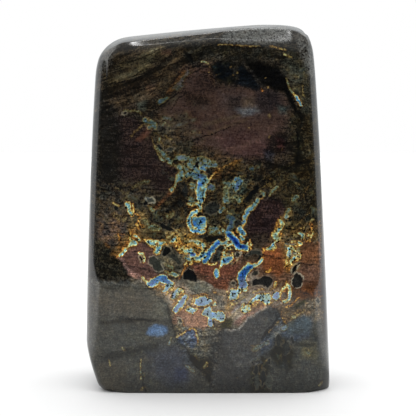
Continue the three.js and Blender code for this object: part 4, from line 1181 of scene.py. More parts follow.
    ("18.2,40.8 20.2,41.6 22.6,42", 0.15, 0.4, 0.36, 0.7),
    ("24.8,41.4 26.2,42.2 28,42.4", 0.15, 0.4, 0.3, 0.7),
    ("27,34.6 29.4,35.4 31,36", 0.15, 0.4, 0.26, 0.7),
    ("34.4,32 36.6,33.4 38.4,35", 0.12, 0.4, 0.26, 0.6),
    ("1.6,87.2 4,89.8 8,91.8 12,93.8", 0.12, 0.4, 0.24, 0.7),
    ("23.6,85.4 27.4,87.6 31.4,90.2", 0.12, 0.4, 0.22, 0.5),
    ("22,82.6 24.4,84.6", 0.15, 0.4, 0.3, 0.6),
    ("37,77 38.4,80 40.4,83.6 42,87", 0.12, 0.4, 0.2, 0.4),
    ("7,77.6 7.4,80.4 8.6,83.4", 0.12, 0.4, 0.26, 0.5),
    ("33.6,66.4 36.4,68.4 39,70.6 41,72.6", 0.12, 0.4, 0.28, 0.55),
    ("34.6,63.6 37.6,65 40.4,67.6 42.6,70", 0.12, 0.4, 0.34, 0.6),
    # The lower end of the pale chain at the right, and the gold line that runs below it.
    ("13.9,33.2 15,34.4 16.2,35.4 17.4,36.8", 0.55, 0.45, 0.58, 0.9),
    ("16.4,34 18.4,35.4 20.2,36.2", 0.3, 0.4, 0.36, 0.75),
    ("24.4,35.8 26.4,37.2 28.4,38.8", 0.3, 0.4, 0.34, 0.7),
]
print("strokes of flash:", len(STROKES))

# %% Lay the strokes over each other
# A stroke climbs from its edge to its middle, and the highest one shows. Each spreads a little past what is
# drawn.
EDGE_HEIGHT = 0.25  # the share of its height that a stroke has at its edge
RIM_FALL = 0.8  # how fast it falls outside its edge, in rims
FILL_SPREAD = 0.25  # how many millimetres a filled outline spreads
FILL_CLIMB = 1.5  # how far in from its edge it still climbs, in rims
FILL_EASE = 0.8  # below 1 the climb is steep at first and then levels off
LINE_GAIN = 1.15  # a stroke reaches this many half widths from its middle,
LINE_SPREAD = 0.05  # and this many millimetres more,
LINE_LEAST = 0.4  # but never less than this
LINE_EASE = 0.6

flash = np.zeros(len(front))
glow = np.zeros(len(front))
for course, half_width, rim, height, strength in STROKES:
    course = points_of(course)
    index = near(course, half_width + 2 * rim + 1)
    if half_width == 0:
        climb, ease = FILL_CLIMB * rim, FILL_EASE
        reach = outline_depth(index, course) + FILL_SPREAD
    else:
        climb, ease = max(LINE_GAIN * half_width + LINE_SPREAD, LINE_LEAST), LINE_EASE
        reach = climb - line_distance(index, course)
    inside = EDGE_HEIGHT + (1 - EDGE_HEIGHT) * np.clip(reach / climb, 0, 1) ** ease
    outside = EDGE_HEIGHT * np.exp(np.minimum(reach, 0) / (RIM_FALL * rim))
    rise = height * np.where(reach > 0, inside, outside)
    higher = rise > flash[index]
    flash[index[higher]] = rise[higher]
    glow[index[higher]] = strength
print("highest flash:", flash.max().round(2))

# %% [markdown]
# ### Where the rock is broken up
#
# Between the strokes the rock is crushed, and full of specks that flash too. How much of that there is at
# each place is painted as one more number, and so is how calm the rock is, and how worn the polish is and
# how much pale sheen is painted on it. The material turns these numbers into specks, black pinholes and a
# coarser mottle, into a quieter grain, or into a rougher polish with a pale colour, which is painted
# reflection of the light overhead.

# %% Numbers painted by outlines
def painted(zones):
    """A number on each front point from outlines with a soft edge and a level. The highest level counts."""
    values = np.zeros(len(front))
    for outline, soft, level in zones:
        outline = points_of(outline)
        index = near(outline, soft + 1)
        values[index] = np.maximum(values[index], level * soft_share(index, outline, soft))
    return values


# %% How broken the rock is
BROKEN = [  # outline, soft edge, how broken: above 1 it is a mosaic that flashes all over
    ("-22,99 -8,99 8,96 22,92 24,86 16,74 12,60 -2,56 -14,56 -24,61 -26,70 -22,78 -14,82", 3, 0.85),
    ("-44,84 -24,85 -22,62 -28,63 -36,56 -44,62", 3, 0.6),
    ("20,92 34,89 44,94 46,60 36,58 28,60 33,76 30,80 22,82", 2.5, 0.6),
    ("33,112 44,112 44,92 34,92", 2.5, 0.3),
    ("-27,112 -6,114 0,104 -6,97 -16,97 -25,103", 3, 0.5),
    ("-22,122 -8,131 -4,128 -14,116", 2, 0.3),
    ("0,134 10,133 12,124 2,123", 1.5, 0.25),
    ("21,60 26,60 30,64 30,70 34,74 34,66 46,70 46,60 36,60 30,60.5", 1.2, 0.9),
    ("30,60 38,59 37,50 31,49", 1, 0.7),
    ("-27,47 -14,48 2,40 12,43 20,41 34,46 37,36 30,33 14,31 8,35 -4,37 -14,31", 1.5, 0.28),
    ("-12,27 -2,28 1,19 -8,14", 2, 0.3),
    ("20,33 34,34 42,40 46,34 36,28 24,27", 2, 0.4),
    ("26,24 44,30 46,10 26,10", 3, 0.3),
    ("-31,20 -22,22 -20,1 -32,1", 3, 0.3),
    ("15,20 24,22 24,1 14,1", 3, 0.3),
    ("30,134 41,131 41,112 36,113", 2, 0.4),
    ("-12,141 34,142 34,134 -8,134", 2, 0.15),
    ("-6,118 6,114 4,104 -8,106", 3, 0.25),
    ("-17,64.5 -12,66 -8,62 2,61 2,56 0,53 -6,53 -12,56", 1.2, 1.25),
    ("-31,66 -30,73 -26,73 -24,64 -18,61.5 -20,59 -28,61 -32,60", 1.4, 0.7),
    ("2,40 8,41 14,43 14,38 8,34 2,36", 1.2, 0.6),
    ("24,42 34,47 38,40 34,34 24,35", 1.2, 0.5),
    ("30,61 38,61 37,50 31,48", 1.2, 1.2),
    ("-16,99 -8,96 2,94 2,87 -8,87 -14,90", 2, 1.0),
    ("22,19 26,18 33,26 39,32.4 37,36 30,32 25,26", 1.2, 0.5),
    ("17,14 21,16 25,13 24,0 18,0", 1.2, 0.8),
    ("26,24 31,24 34,16 33,10 28,10 25,16", 1.2, 0.7),
    ("-13,30 -8,27 -2,20 0,10 -8,10 -14,20", 1.5, 0.6),
    ("4,59 16,62 18,56 10,51 4,52", 1.2, 1.15),
]

broken = painted(BROKEN)
print("broken zones:", len(BROKEN))

# %% Where the rock is calm
CALM = [  # outline, soft edge, how calm: smooth rock that shows its layers and little else
    ("-43,112 -30,111 -25,107 -21,100 -19,95 -13,91 -12,86 -17,80 -28,85 -43,84", 1.2, 0.65),
    ("21,78 29,78 31,74 29,69 26,63 22,60 17,61 15,66 16,71", 1, 0.35),
    ("-35,55 -31,58.5 -27,61 -24,59 -21,57 -21,50 -16,48 -22,46 -27,46.5 -31,49", 1, 0.7),
    ("-4,52 10,57 22,60 45,61 46,42 26,42 16,48 2,46", 1.2, 0.6),
    ("-50,44 -38,44.5 -27,44 -20,38 -16,34 -15,28 -12,22 -9,17 -6,11 -3,7 1,2 1,-3 -50,-3", 1, 1),
    ("6,26 12,25.5 16,30 20,33 25,35 28,33 22,20 22,-3 2,-3 4,12", 1, 1),
    ("22,-3 22,18 26,24 34,30 50,30 50,-3", 1.5, 0.8),
    ("-10,34 -2,33 2,29 -4,26 -12,28", 1, 0.7),
    ("1,132 8,134 20,134 28,132 30,124 22,123 10,124 4,126", 1.6, 0.25),
    ("-20,118 -4,128 3,124 22,123 31,119 30,104 18,94 6,96 -6,102 -18,108", 3, 1),
    ("-42,141 -10,141 -8,122 -18,112 -42,112", 3, 0.25),
    ("-24,46 -10,47 2,46 8,42 14,43 24,42 34,46 40,42 38,33 30,30 24,34 14,28 6,27 2,32 -8,31 -15,31 "
     "-20,40", 1.5, 0.6),
]

calm = painted(CALM) * (1 - np.clip(broken - 0.5, 0, 0.5))  # less so where it is broken
print("calm zones:", len(CALM))

# %% Where the polish is worn, and where a pale sheen is painted
WORN_AND_SHEEN = [  # outline, soft edge, how worn the polish is and how much pale sheen is painted there
    # The bevel and the rolled corners: their pale colour is painted reflection of the light overhead, their
    # roughness is worn polish.
    ("5,141.6 14,140.8 24,140.8 33,141.2 35,144 33,147.5 22,148 10,146.8 6,144.4", 1.4, 1),
    ("36,145 41,142 44,135 43,128 41,127 39,133 37,139", 1.4, 0.9),
    ("-42,136 -38,140.5 -36,140 -40,132 -43,128 -44,131", 1.2, 0.5),
    ("-30,141.4 -10,143 0,143.6 6,143 -10,141 -30,139.6", 1.2, 0.35),
]

worn_and_sheen = painted(WORN_AND_SHEEN)
print("worn places:", len(WORN_AND_SHEEN))

# %% [markdown]
# ### Dark grains and cracks
#
# A grain is a dark blob of another mineral, and some of them have a pale rim. A crack is a hairline. Both
# are stored as distances, because a distance changes evenly from point to point: the material can draw a
# line of a third of a millimetre from it, although the points of the mesh lie further apart than that.

# %% Grains
NO_GRAIN = -3.0  # the depth where no grain is near
GRAIN_MARGIN = 2.5  # millimetres round a grain in which its depth is worked out
GRAINS = [  # outline, how deeply dark it is, how pale its rim is
    ("-23.5,54.6 -22,55.2 -20.4,54 -19,52 -18,50 -19.5,48.6 -21.6,49.4 -22.6,51 -24.2,53", 0.45, 0.5),
    ("-18.4,57 -17.2,59 -15.8,58.9 -14.8,57.2 -16.4,56.2 -17.2,55 -18.6,55.8", 1, 0.2),
    ("-14.8,56.6 -12.6,55.4 -10.6,52.6 -11.6,51.6 -13.6,53.4 -15.6,55", 0.6, 0.1),
    ("-10.4,46 -9.6,48.6 -8,50.2 -5.8,49.6 -4.6,47.6 -4.2,45 -7,45", 1, 0.3),
    ("35.3,48.9 37,48.5 38.3,47 38.3,45 37,42.9 35.4,42.5 33.9,44 34.3,46.2", 0.85, 0.8),
    ("36.7,52.7 35.5,52.3 34,50.2 33.9,48.8 35.3,49.6", 1, 0.7),
    ("17.8,45.4 18.2,43.6 20,43.8 22,43.6 24,42.2 25.4,43.3 26.2,45 24.6,46.8 22.5,47 20.4,46 18.5,46.1",
     0.9, 0.3),
    ("17.4,47.4 18.2,49.6 19.8,49.4 20.2,47.8 19,47.2", 0.6, 0.35),
    ("10.9,55.6 11.6,57 13,56.6 12.8,55.2 11.6,54.8", 0.7, 0.8),
    ("-26,76.6 -25,77.6 -24,77.2 -24.4,76.2 -25.4,75.8", 1, 0.1),
    ("-24.4,77.8 -22.4,78.6 -21.4,77.4 -23.6,76.8", 0.2, 0.7),
    ("-19.4,67.4 -18.3,68.5 -17,67.7 -15,67.1 -13.3,66.1 -15.5,65.5 -18.2,66.2", 0.95, 0.1),
    ("-5.2,90.8 -4.4,93.2 -3.4,93 -3.8,90.8", 1, 0.1),
    ("-0.8,89.9 0.8,89.4 2.2,87.9 1.4,87.3 0.2,88.4 -0.8,88.8", 0.9, 0.1),
    ("-10,85.2 -8.5,83.4 -8,81 -8.6,79 -9.8,78.8 -10.2,81", 0.8, 0.0),
    ("14.8,78 16.6,80 18.4,82.2 20.2,83.6 21,82.4 19.4,80.2 17.2,77.8 15.6,76.9", 1, 0.0),
    ("-1.2,74.4 0.4,76.6 3,77.2 4.6,75.4 3.6,73 1.4,71.8 -0.6,72.6", 0.7, 0.15),
    ("10.2,68.6 11.4,69.8 13.6,69 13.4,67.2 11.2,67", 0.7, 0.1),
    ("1.6,53.2 2.2,55 3.6,55.2 4,53.8 2.8,52.9", 0.85, 0.15),
    ("3.4,57.4 4.2,59.2 6,59.6 6.6,58 5,57.2", 0.7, 0.2),
    ("15.2,55.6 16.4,57.2 18.6,57.6 21,57.8 21.4,56 18.4,55.8", 0.5, 0.2),
    ("18.2,52.4 19.4,54 20.8,55.8 21.4,54.6 20,53.2", 0.9, 0.0),
    ("20.2,78.6 21,80 22,79.4 21.6,78.2", 1, 0.1),
    ("29.8,69.1 31.6,69.9 33.6,70.2 34.6,71.8 34.4,69.6 31.6,68.8", 0.95, 0.0),
    ("25.4,60.6 26,61.8 26.7,61.2 26.2,60.4", 1, 0.1),
    ("27,60.7 27.5,61.3 27.9,60.7 27.4,60.3", 1, 0.1),
    ("9.6,44 10.2,45.2 11.2,44.8 11,43.6", 0.6, 0.5),
    ("-4.6,72 -4,73 -2.6,72.6 -2.4,71.6 -3.6,71.4", 0.9, 0.0),
    ("-21.6,43.8 -21,44.9 -20.4,44.9 -21.1,43.7", 0.5, 0.0),
    ("21.6,37.8 22,38.9 22.5,38.9 22.1,37.7", 0.9, 0.0),
    ("10.5,39.9 11,40.6 11.3,40.2 10.7,39.7", 1, 0.0),
    ("-7.4,70.6 -6.6,70.9 -6.2,69.6 -6.8,69.2", 0.9, 0.0),
    ("-20.8,99.8 -19.4,100.4 -17.8,98.6 -18.2,97.6 -19.4,98.4", 0.95, 0.1),
    ("-16.6,97.6 -15,98.8 -13.4,98 -14.6,96.8", 0.6, 0.2),
    ("-34.6,112.6 -33.4,113.2 -32.4,112.6 -33.4,112.1", 1, 0.3),
    ("-33.6,74.4 -32.6,75.2 -31.8,74.6 -32.8,73.9", 1, 0.1),
    ("-38,74.6 -37,75.4 -36,74 -36.8,73", 0.9, 0.1),
    ("-12.2,30.2 -10.8,30.4 -10.2,29 -11.4,28", 0.25, 0.9),
    ("43.4,37 44.6,38 45.4,36.6 44.6,35.4", 0.6, 0.3),
    ("-28.2,55 -26.8,54.8 -26.2,53.4 -27.2,53", 1, 0.6),
    ("-1.6,60 -0.4,61.4 1.6,62.2 3.6,63.6 7.2,64 7.4,63 4,62 1.6,60.4", 0.9, 0.0),
    ("-4.6,62.4 -2.6,63.6 -0.6,63.2 -2,62", 0.7, 0.1),
    ("23,4 24.4,8 26,5 25,2", 0.3, 0.1),
    ("-4,76.2 -3,76.8 -2.2,76 -3.2,75.2", 1, 0.0),
    ("12,62.4 12.6,63.5 13.3,62.8 12.6,62", 1, 0.0),
    ("14.3,62 15,62.7 15.5,61.8 14.8,61.3", 1, 0.0),
    ("13.2,45.8 14,46.2 14.4,45.4 13.6,45", 0.6, 0.3),
    ("32.2,55.4 32.6,56.4 33.1,55.6 32.6,54.9", 1, 0.6),
    ("-29.5,64.8 -28.8,65.3 -28.1,64.4 -28.8,64", 1, 0.0),
    ("-32.5,64.6 -31.6,65.2 -31.3,62.8 -32.1,63.1", 1, 0.0),
    ("-27.1,63 -26.6,63.5 -26.1,62.6 -26.6,62.3", 0.9, 0.0),
    ("-3.2,38 -2.5,38 -2,37 -2.6,36.8", 0.8, 0.1),
    ("0.2,36.8 1,37 1.6,36.4 0.8,36.1", 0.9, 0.2),
    ("-6.9,38 -6.4,38.2 -6.2,37.7 -6.6,37.5", 1, 0.3),
    ("1.4,29.7 2.2,29.6 3.2,28.2 2.6,27.9", 0.9, 0.1),
    ("18.6,9 19.6,12 20.6,9.4 19.6,6.6", 0.9, 0.1),
    ("21,7 22.4,10 23.4,6 22,3", 0.9, 0.1),
    ("24,12 25,14 25.6,11.4", 0.9, 0.1),
    ("27.4,23 28.4,24.6 29.8,22 28.6,18 27.6,19.4", 0.8, 0.1),
    ("29.6,19 31.4,20.8 33.2,18 31,14.6", 0.7, 0.1),
    ("32.8,22 33.8,23 34.8,20.6 34,18.8", 0.7, 0.1),
    ("19.4,1.4 18.6,6 20,8.4 21.2,4", 0.35, 0.1),
]

grain_depth = np.full(len(front), NO_GRAIN)
grain_dark = np.zeros(len(front))
grain_rim = np.zeros(len(front))
for outline, dark, rim in GRAINS:
    outline = points_of(outline)
    index = near(outline, GRAIN_MARGIN)
    depth = outline_depth(index, outline)
    deeper = depth > grain_depth[index]
    grain_depth[index[deeper]] = depth[deeper]
    grain_dark[index[deeper]] = dark
    grain_rim[index[deeper]] = rim
print("grains:", len(GRAINS))

# %% Cracks
NO_CRACK = 3.0  # the gap where no crack is near
CRACK_MARGIN = 2  # millimetres round a crack
CRACKS = [  # course, half width, how dark it is
    ("-38,103.5 -34,105 -30,107.5 -27,108.5 -25,110.5 -20,115 -16,118 -12,120.5 -9,121.2", 0.26, 0.9),
    ("-25,105.6 -20,105.2 -16,105.8 -11,106.6", 0.22, 0.85),
    ("-8,100.5 -2,103 2,104.3 6,105.8 9,107.2", 0.24, 0.9),
    ("-40,124 -30,126.2 -25,128.4 -20,131.5 -16,135 -13,138", 0.25, 0.8),
    ("-10,137.5 -8,135.5 -6.5,134 -6,132.5", 0.5, 0.85),
    ("-6,131.6 -3,131.9 0.4,131.2", 0.45, 0.8),
    ("-9.5,130.5 -12,128 -14,125.5 -13.6,124", 0.35, 0.7),
    ("-15,114 -12.5,117.5 -10,119.5 -8,121", 0.28, 0.8),
    ("-43,91.6 -35,91.6 -28,90.9 -24,91.1", 0.22, 0.85),
    ("-41,87.2 -34,87.6", 0.16, 0.6),
    ("-35,98.6 -30,98.7 -25,99.2", 0.3, 0.5),
    ("5.6,83 8,85.6 10,86.4", 0.22, 0.8),
    ("12.4,82.8 14.8,84.6 16,86", 0.25, 0.8),
    ("6,90 9.6,88.8 12,90 16,91", 0.22, 0.6),
    ("1.8,88.2 -0.6,86.4 -1.7,84.6 -1.8,82 -2,79.8 -2.6,77.4", 0.18, 0.95),
    ("-30,57.4 -25,57 -20,56.4", 0.2, 0.7),
    ("-35,52.6 -32,51 -28,50.3 -24,49.2 -20,48.2 -16,47.2 -10,46.6", 0.2, 0.75),
    ("-17,44.5 -12,43.1 -8,41.6 -2,39.6 3,38.4", 0.16, 0.7),
    ("3,51.6 8,50.6 13,50.8", 0.14, 0.6),
    ("22,55.6 27,54.3 31,54.1", 0.22, 0.7),
    ("34,52.9 38,52.5 44,51.6", 0.25, 0.8),
    ("21,50.6 25,50.2 30,50.8", 0.14, 0.5),
    ("-2,47.4 4,46.4 8,45.4", 0.16, 0.6),
    ("-24,75 -18,74.6 -12,75.2", 0.18, 0.6),
    ("-43,79 -36,77.5 -32,78", 0.14, 0.5),
    ("-41,72.6 -37,71.6 -34,71", 0.18, 0.7),
    ("-40,71 -37,70.5", 0.14, 0.6),
    ("-42,68.2 -36,67 -30,66.6", 0.2, 0.75),
    ("-41,65.2 -36,64.6", 0.14, 0.6),
    ("21,67.4 27,67.2 31,66.2", 0.16, 0.5),
    ("18,71.6 24,72.2 29,71.8", 0.2, 0.45),
    ("25,78.2 30,77 38,77.4", 0.22, 0.6),
    ("22,85.2 26,87 30,89.4 36,92 41,93", 0.5, 0.8),
    ("-36,31 -30,30.6 -23,29.8", 0.14, 0.5),
    ("-24.6,43.2 -22.6,41.8", 0.3, 0.6),
    ("-16.4,35 -15.6,31 -14.4,28 -13.6,25.4 -12.4,21.6 -9.8,18.6", 0.5, 0.5),
    ("-9.8,19 -7.8,16 -6.4,12.8 -4.2,10.4 -1.6,8.8 0.6,6.6", 0.3, 0.7),
    ("-25,21 -22.4,22.4", 0.4, 0.4),
    ("28.6,31.6 26,27.6 23.6,25 21.6,21.6", 0.5, 0.6),
    ("31,22.6 34,20.6 38,19.4 43,19.6", 0.7, 0.5),
    ("-44,14.6 -36,16.8 -30,18.2", 0.25, 0.5),
    ("-37,30.6 -30,29.9 -21,29.3", 0.3, 0.6),
    ("-26.4,9 -26,4 -24.6,0", 0.45, 0.7),
    ("30,18 31,12 31.6,8", 0.5, 0.5),
    ("-46.6,43 -45.8,38", 0.4, 0.4),
    ("30.4,125 31.4,122 33.6,118.6 35.6,113.4 38,111", 0.7, 0.9),
    ("36,106 36.6,101 36.4,94", 0.45, 0.8),
    ("29.6,106.4 33,106.8 35,108.4", 0.2, 0.6),
    ("38.6,81 39.2,79 40,77", 0.35, 0.8),
    ("-8.2,37 -6.4,35.2 -3,35", 0.18, 0.6),
    ("11,40.6 10.2,39.6", 0.3, 0.9),
    ("22.2,40.4 21.8,38", 0.35, 0.9),
    ("-45,29.8 -46,29.4", 0.3, 0.5),
    ("24,12.6 25,10", 0.3, 0.4),
    ("-7.4,88.2 -6.2,89.4 -5.4,90.6 -4.6,92.4", 0.3, 0.95),
    ("-7,70.4 -6.8,69 -6.2,67.8 -5.6,67", 0.2, 0.85),
    ("-5.7,67.8 -3,67.5 -1.8,67.9", 0.15, 0.75),
    ("-2.4,75.9 -1,75.6 2,75.8", 0.2, 0.8),
    ("-10,34.8 -9.6,34.4", 0.25, 0.8),
    ("38.4,62.4 37.6,61 37,60.2", 0.2, 0.8),
    ("40.4,67.4 39.4,66 38.6,65.2", 0.22, 0.85),
    ("42,65 41.4,63.8", 0.22, 0.8),
]

crack_gap = np.full(len(front), NO_CRACK)
crack_dark = np.zeros(len(front))
for course, half_width, dark in CRACKS:
    course = points_of(course)
    index = near(course, half_width + CRACK_MARGIN)
    gap = line_distance(index, course) - half_width
    closer = gap < crack_gap[index]
    crack_gap[index[closer]] = gap[closer]
    crack_dark[index[closer]] = dark
print("cracks:", len(CRACKS))


# %% Store them on the points
def store(name, values, kind="FLOAT", rest=0.0):
    """Writes values for the front points to an attribute, and rest for all the others."""
    full = np.full((len(points), 1 if kind == "FLOAT" else 4), rest, np.float32)
    full[front, :] = np.asarray(values, np.float32).reshape(len(front), -1)
    attribute = stone.data.attributes.new(name, kind, "POINT")
    attribute.data.foreach_set("value" if kind == "FLOAT" else "color", full.ravel())


ROCK_ELSEWHERE = 0.02  # a dark brown for the points off the front

fade = facing[front]
store("front", fade)
store("rock", np.column_stack([rock, np.ones(len(front))]), "FLOAT_COLOR", rest=ROCK_ELSEWHERE)
store("flash", flash * fade)
store("glow", glow)
store("broken", broken)
store("worn_and_sheen", worn_and_sheen)
store("calm", calm)
store("grain_depth", grain_depth, rest=NO_GRAIN)
store("grain_dark", grain_dark)
store("grain_rim", grain_rim)
store("crack_gap", crack_gap, rest=NO_CRACK)
store("crack_dark", crack_dark)
print("attributes on the stone:", len(stone.data.attributes))

# %% [markdown]
# ## The finish
#
# One material carries the whole stone. It reads the numbers stored on the points and the place inside the
# stone, and adds what is too fine for the points: the layers, which show as long thin streaks, a fine
# grain, specks, and the flash that the sides and the back have. Because the grain depends on the place in
# all three directions, it runs on round the edges without a seam, as it does in rock.

# %% More helpers, for this finish
labradorite, tree = new_material("labradorite")
stone.data.materials.append(labradorite)
polish = tree.nodes["Principled BSDF"]


def print_nodes(made):
    print("nodes with", made + ":", len(tree.nodes))


def stored(name):
    """The number, or for the rock the colour, that is stored on the points."""
    node = tree.nodes.new("ShaderNodeAttribute")
    node.attribute_name = name
    return node.outputs["Color"] if name == "rock" else node.outputs["Fac"]


def rgb(r, g, b):
    return (*tint(r, g, b), 1)


def swing(value, amount, middle=0.5):
    """Moves a value between 0 and 1 to either side of 0, by an amount."""
    return graded(value, -amount * middle, amount)


def rest_of(value):
    """What is left of 1."""
    return calc("SUBTRACT", 1.0, value)


def one_at_most(value):
    return calc("MINIMUM", value, 1.0)


def doublings(value):
    """2 to the power of a value, so that equal steps up and down lighten and darken by equal factors."""
    return calc("POWER", 2.0, value)


def shaded(colour, value):
    """A colour made darker or lighter by a value around 1."""
    node = tree.nodes.new("ShaderNodeCombineColor")
    for socket in node.inputs:
        wire(value, socket)
    return tinted(1.0, colour, node.outputs[0], "MULTIPLY")


# %% Where we are in the stone, in millimetres
place = tree.nodes.new("ShaderNodeTexCoord")
in_mm = tree.nodes.new("ShaderNodeVectorMath")
in_mm.operation = "SCALE"
wire(place.outputs["Object"], in_mm.inputs[0])
in_mm.inputs["Scale"].default_value = 1 / MM
part_mm = tree.nodes.new("ShaderNodeSeparateXYZ")
wire(in_mm.outputs[0], part_mm.inputs[0])
mm_across, mm_up = part_mm.outputs["X"], part_mm.outputs["Z"]


def clouds(size, detail=2.0, rough=0.5, stretch=(1, 1, 1), turn=(0, 0, 0), shift=(0, 0, 0), bend=0.0):
    """Noise around 0.5, with lumps of about a size in mm, drawn out and turned where asked."""
    mapping = tree.nodes.new("ShaderNodeMapping")
    mapping.vector_type = "TEXTURE"
    wire(in_mm.outputs[0], mapping.inputs["Vector"])
    mapping.inputs["Location"].default_value = shift
    mapping.inputs["Rotation"].default_value = [math.radians(v) for v in turn]
    mapping.inputs["Scale"].default_value = [v * size for v in stretch]
    node = tree.nodes.new("ShaderNodeTexNoise")
    wire(mapping.outputs[0], node.inputs["Vector"])
    node.inputs["Scale"].default_value = 1
    node.inputs["Detail"].default_value = detail
    node.inputs["Roughness"].default_value = rough
    node.inputs["Distortion"].default_value = bend
    return node.outputs["Fac"]


def threads(cloud, wide, full=0.0):
    """Thin lines along which a noise crosses its middle: 0 beside them and 1 on them."""
    return ramp_up(calc("ABSOLUTE", swing(cloud, 1.0)), wide, full)


# %% The layers, seen as streaks and hairlines
# They lie almost level and dip a little to the right, but bend upwards at the top left.
BEND = (122, 136)  # millimetres up at the middle, where the bend starts and is full
BEND_SLOPE = 0.5  # it lies lower to the left, by this much for each millimetre

uplift = ramp_up(total(mm_up, product(mm_across, -BEND_SLOPE)), *BEND)
level_streaks = clouds(1.2, detail=3, rough=0.6, stretch=(8, 7, 1), turn=(4, 3.5, 0), bend=0.45)
risen_streaks = clouds(1.3, detail=3, rough=0.6, stretch=(7, 7, 1), turn=(4, -19, 0), bend=0.2)
streaks = either(uplift, level_streaks, risen_streaks)
level_hair = clouds(1.9, detail=3, stretch=(10, 8, 1), turn=(5, 3, 0), shift=(31, 7, 3), bend=0.2)
risen_hair = clouds(1.9, detail=3, stretch=(8, 8, 1), turn=(5, -21, 0), shift=(31, 7, 3), bend=0.2)
hairline = threads(either(uplift, level_hair, risen_hair), 0.03, 0.006)
print_nodes("the layers")

# %% Grain of every size
grit = clouds(0.55, detail=1, rough=0.6)
grain = clouds(1.0, detail=2, rough=0.65, shift=(3, 11, 5))
mottle = clouds(2.6, detail=3, rough=0.6, shift=(23, 8, 15), bend=0.4)
patches = clouds(8, detail=3, rough=0.55, shift=(13, 1, 9))
# Where the rock was crushed, its lumps are drawn out along the slanting shear, up to the right.
SHEAR = (0, -38, 0)  # degrees
slant = clouds(1.3, detail=3, rough=0.6, stretch=(3.6, 2.6, 1), turn=SHEAR, shift=(9, 4, 61), bend=0.4)
veinlets = threads(slant, 0.02)
print_nodes("the grain")

# %% How broken and how calm the rock is, all round
front_share = stored("front")
patchy_sides = product(ramp_up(patches, 0.45, 0.65), 0.6, rest_of(front_share))
broken_rock = total(product(stored("broken"), front_share), patchy_sides)
crushed = one_at_most(broken_rock)
calm = stored("calm")
rough_share = graded(calm, 1.0, -0.55)
print_nodes("the crushed rock")

# %% The order of the flash colours
FLASH_BANDS = [  # height, colour where the flash is strong, and where it is faint
    (0.00, (40, 28, 24), (36, 28, 20)),
    (0.09, (108, 58, 32), (70, 52, 32)),
    (0.17, (172, 106, 46), (104, 80, 44)),
    (0.25, (214, 162, 70), (134, 112, 62)),
    (0.33, (222, 204, 118), (150, 138, 82)),
    (0.42, (208, 220, 160), (142, 152, 108)),
    (0.52, (168, 208, 182), (120, 152, 136)),
    (0.64, (124, 182, 194), (100, 144, 152)),
    (0.78, (90, 150, 192), (80, 124, 156)),
    (0.92, (56, 116, 178), (62, 102, 152)),
    (1.06, (30, 80, 162), (46, 78, 142)),
    (1.20, (12, 42, 112), (34, 56, 120)),
]
TOP_BAND = FLASH_BANDS[-1][0]


def flash_light(height, strength):
    """The colour of the flash at a height, paler and duller where it is faint."""
    looks = []
    for which in (1, 2):
        bands = tree.nodes.new("ShaderNodeValToRGB")
        stops = bands.color_ramp.elements
        stops[0].position, stops[0].color = 0, rgb(*FLASH_BANDS[0][which])
        stops[1].position, stops[1].color = 1, rgb(*FLASH_BANDS[-1][which])
        for band in FLASH_BANDS[1:-1]:
            stops.new(band[0] / TOP_BAND).color = rgb(*band[which])
        wire(calc("DIVIDE", height, TOP_BAND), bands.inputs["Fac"])
        looks.append(bands.outputs["Color"])
    strong, faint = looks
    return tinted(strength, faint, strong)


print("flash bands:", len(FLASH_BANDS))

# %% The tint of the rock
SIDE_DARK = rgb(24, 23, 20)
SIDE_LIGHT = rgb(50, 46, 38)
SIDE_MAUVE = rgb(54, 40, 36)
WARMER = (1.2, 1.0, 0.62, 1)
COOLER = (0.75, 1.0, 1.2, 1)

side_rock = tinted(ramp_up(patches, 0.35, 0.65), SIDE_DARK, SIDE_LIGHT)
side_rock = tinted(ramp_up(clouds(16, detail=2, shift=(7, 9, 50)), 0.45, 0.6), side_rock, SIDE_MAUVE)
colour = tinted(front_share, side_rock, stored("rock"))
# Some parts are warmer and some cooler than the rest, the more so where the rock is broken.
medley = product(total(0.35, product(broken_rock, 0.65)), rough_share)
colour = tinted(product(medley, ramp_up(mottle, 0.48, 0.62)), colour, WARMER, "MULTIPLY")
colour = tinted(product(medley, ramp_up(mottle, 0.5, 0.38)), colour, COOLER, "MULTIPLY")
print_nodes("the tint")

# %% Its streaks, lumps and dark lines
EVEN_FOOT = (44, 30)  # millimetres up, where the streaks start to fade and are faintest

even_foot = ramp_up(total(mm_up, swing(patches, 10)), *EVEN_FOOT)
streakiness = product(graded(crushed, 1.0, -0.7), either(even_foot, 1.0, 0.3))
streaky = product(swing(streaks, 4.0), streakiness, total(rough_share, product(uplift, 0.7)))
lumpy = product(total(swing(grain, 5.6), swing(patches, 2.2), swing(mottle, 2.2)), rough_share)
gritty = product(swing(grit, 4.0), graded(calm, 1.0, -0.35))
sheared = product(swing(slant, 4.6), broken_rock)
unevenness = total(streaky, lumpy, gritty, sheared, -0.15)
dark_hairlines = product(hairline, graded(calm, 0.66, -0.4))
dark_lines = calc("MAXIMUM", dark_hairlines, product(veinlets, broken_rock, 0.8))
colour = shaded(colour, product(doublings(unevenness), rest_of(dark_lines)))
print_nodes("the streaks")

# %% The dim flash of the crushed rock, on the sides and the back as well
DULL_OLIVE = rgb(120, 122, 104)

wide = clouds(4.2, detail=4, rough=0.62, stretch=(1.5, 1.2, 1), turn=(0, -30, 0),
              shift=(71, 20, 8), bend=0.5)
mosaic = ramp_up(broken_rock, 0.9, 1.4)
dim_height = total(swing(wide, 2.8, 0.44), product(mosaic, 0.12))
dim_share = total(graded(ramp_up(mottle, 0.42, 0.68), 0.04, 0.5), product(mosaic, 0.45))
dim_glow = product(crushed, ramp_up(dim_height, 0.05, 0.5), one_at_most(dim_share))
dull = tinted(either(mosaic, 0.3, 0.1), flash_light(dim_height, mosaic), DULL_OLIVE)
dim_grain = doublings(total(swing(grain, 4.2), swing(slant, 4.4)))
colour = tinted(dim_glow, colour, shaded(dull, product(either(mosaic, 0.42, 1.0), dim_grain)))
print_nodes("the dim flash")

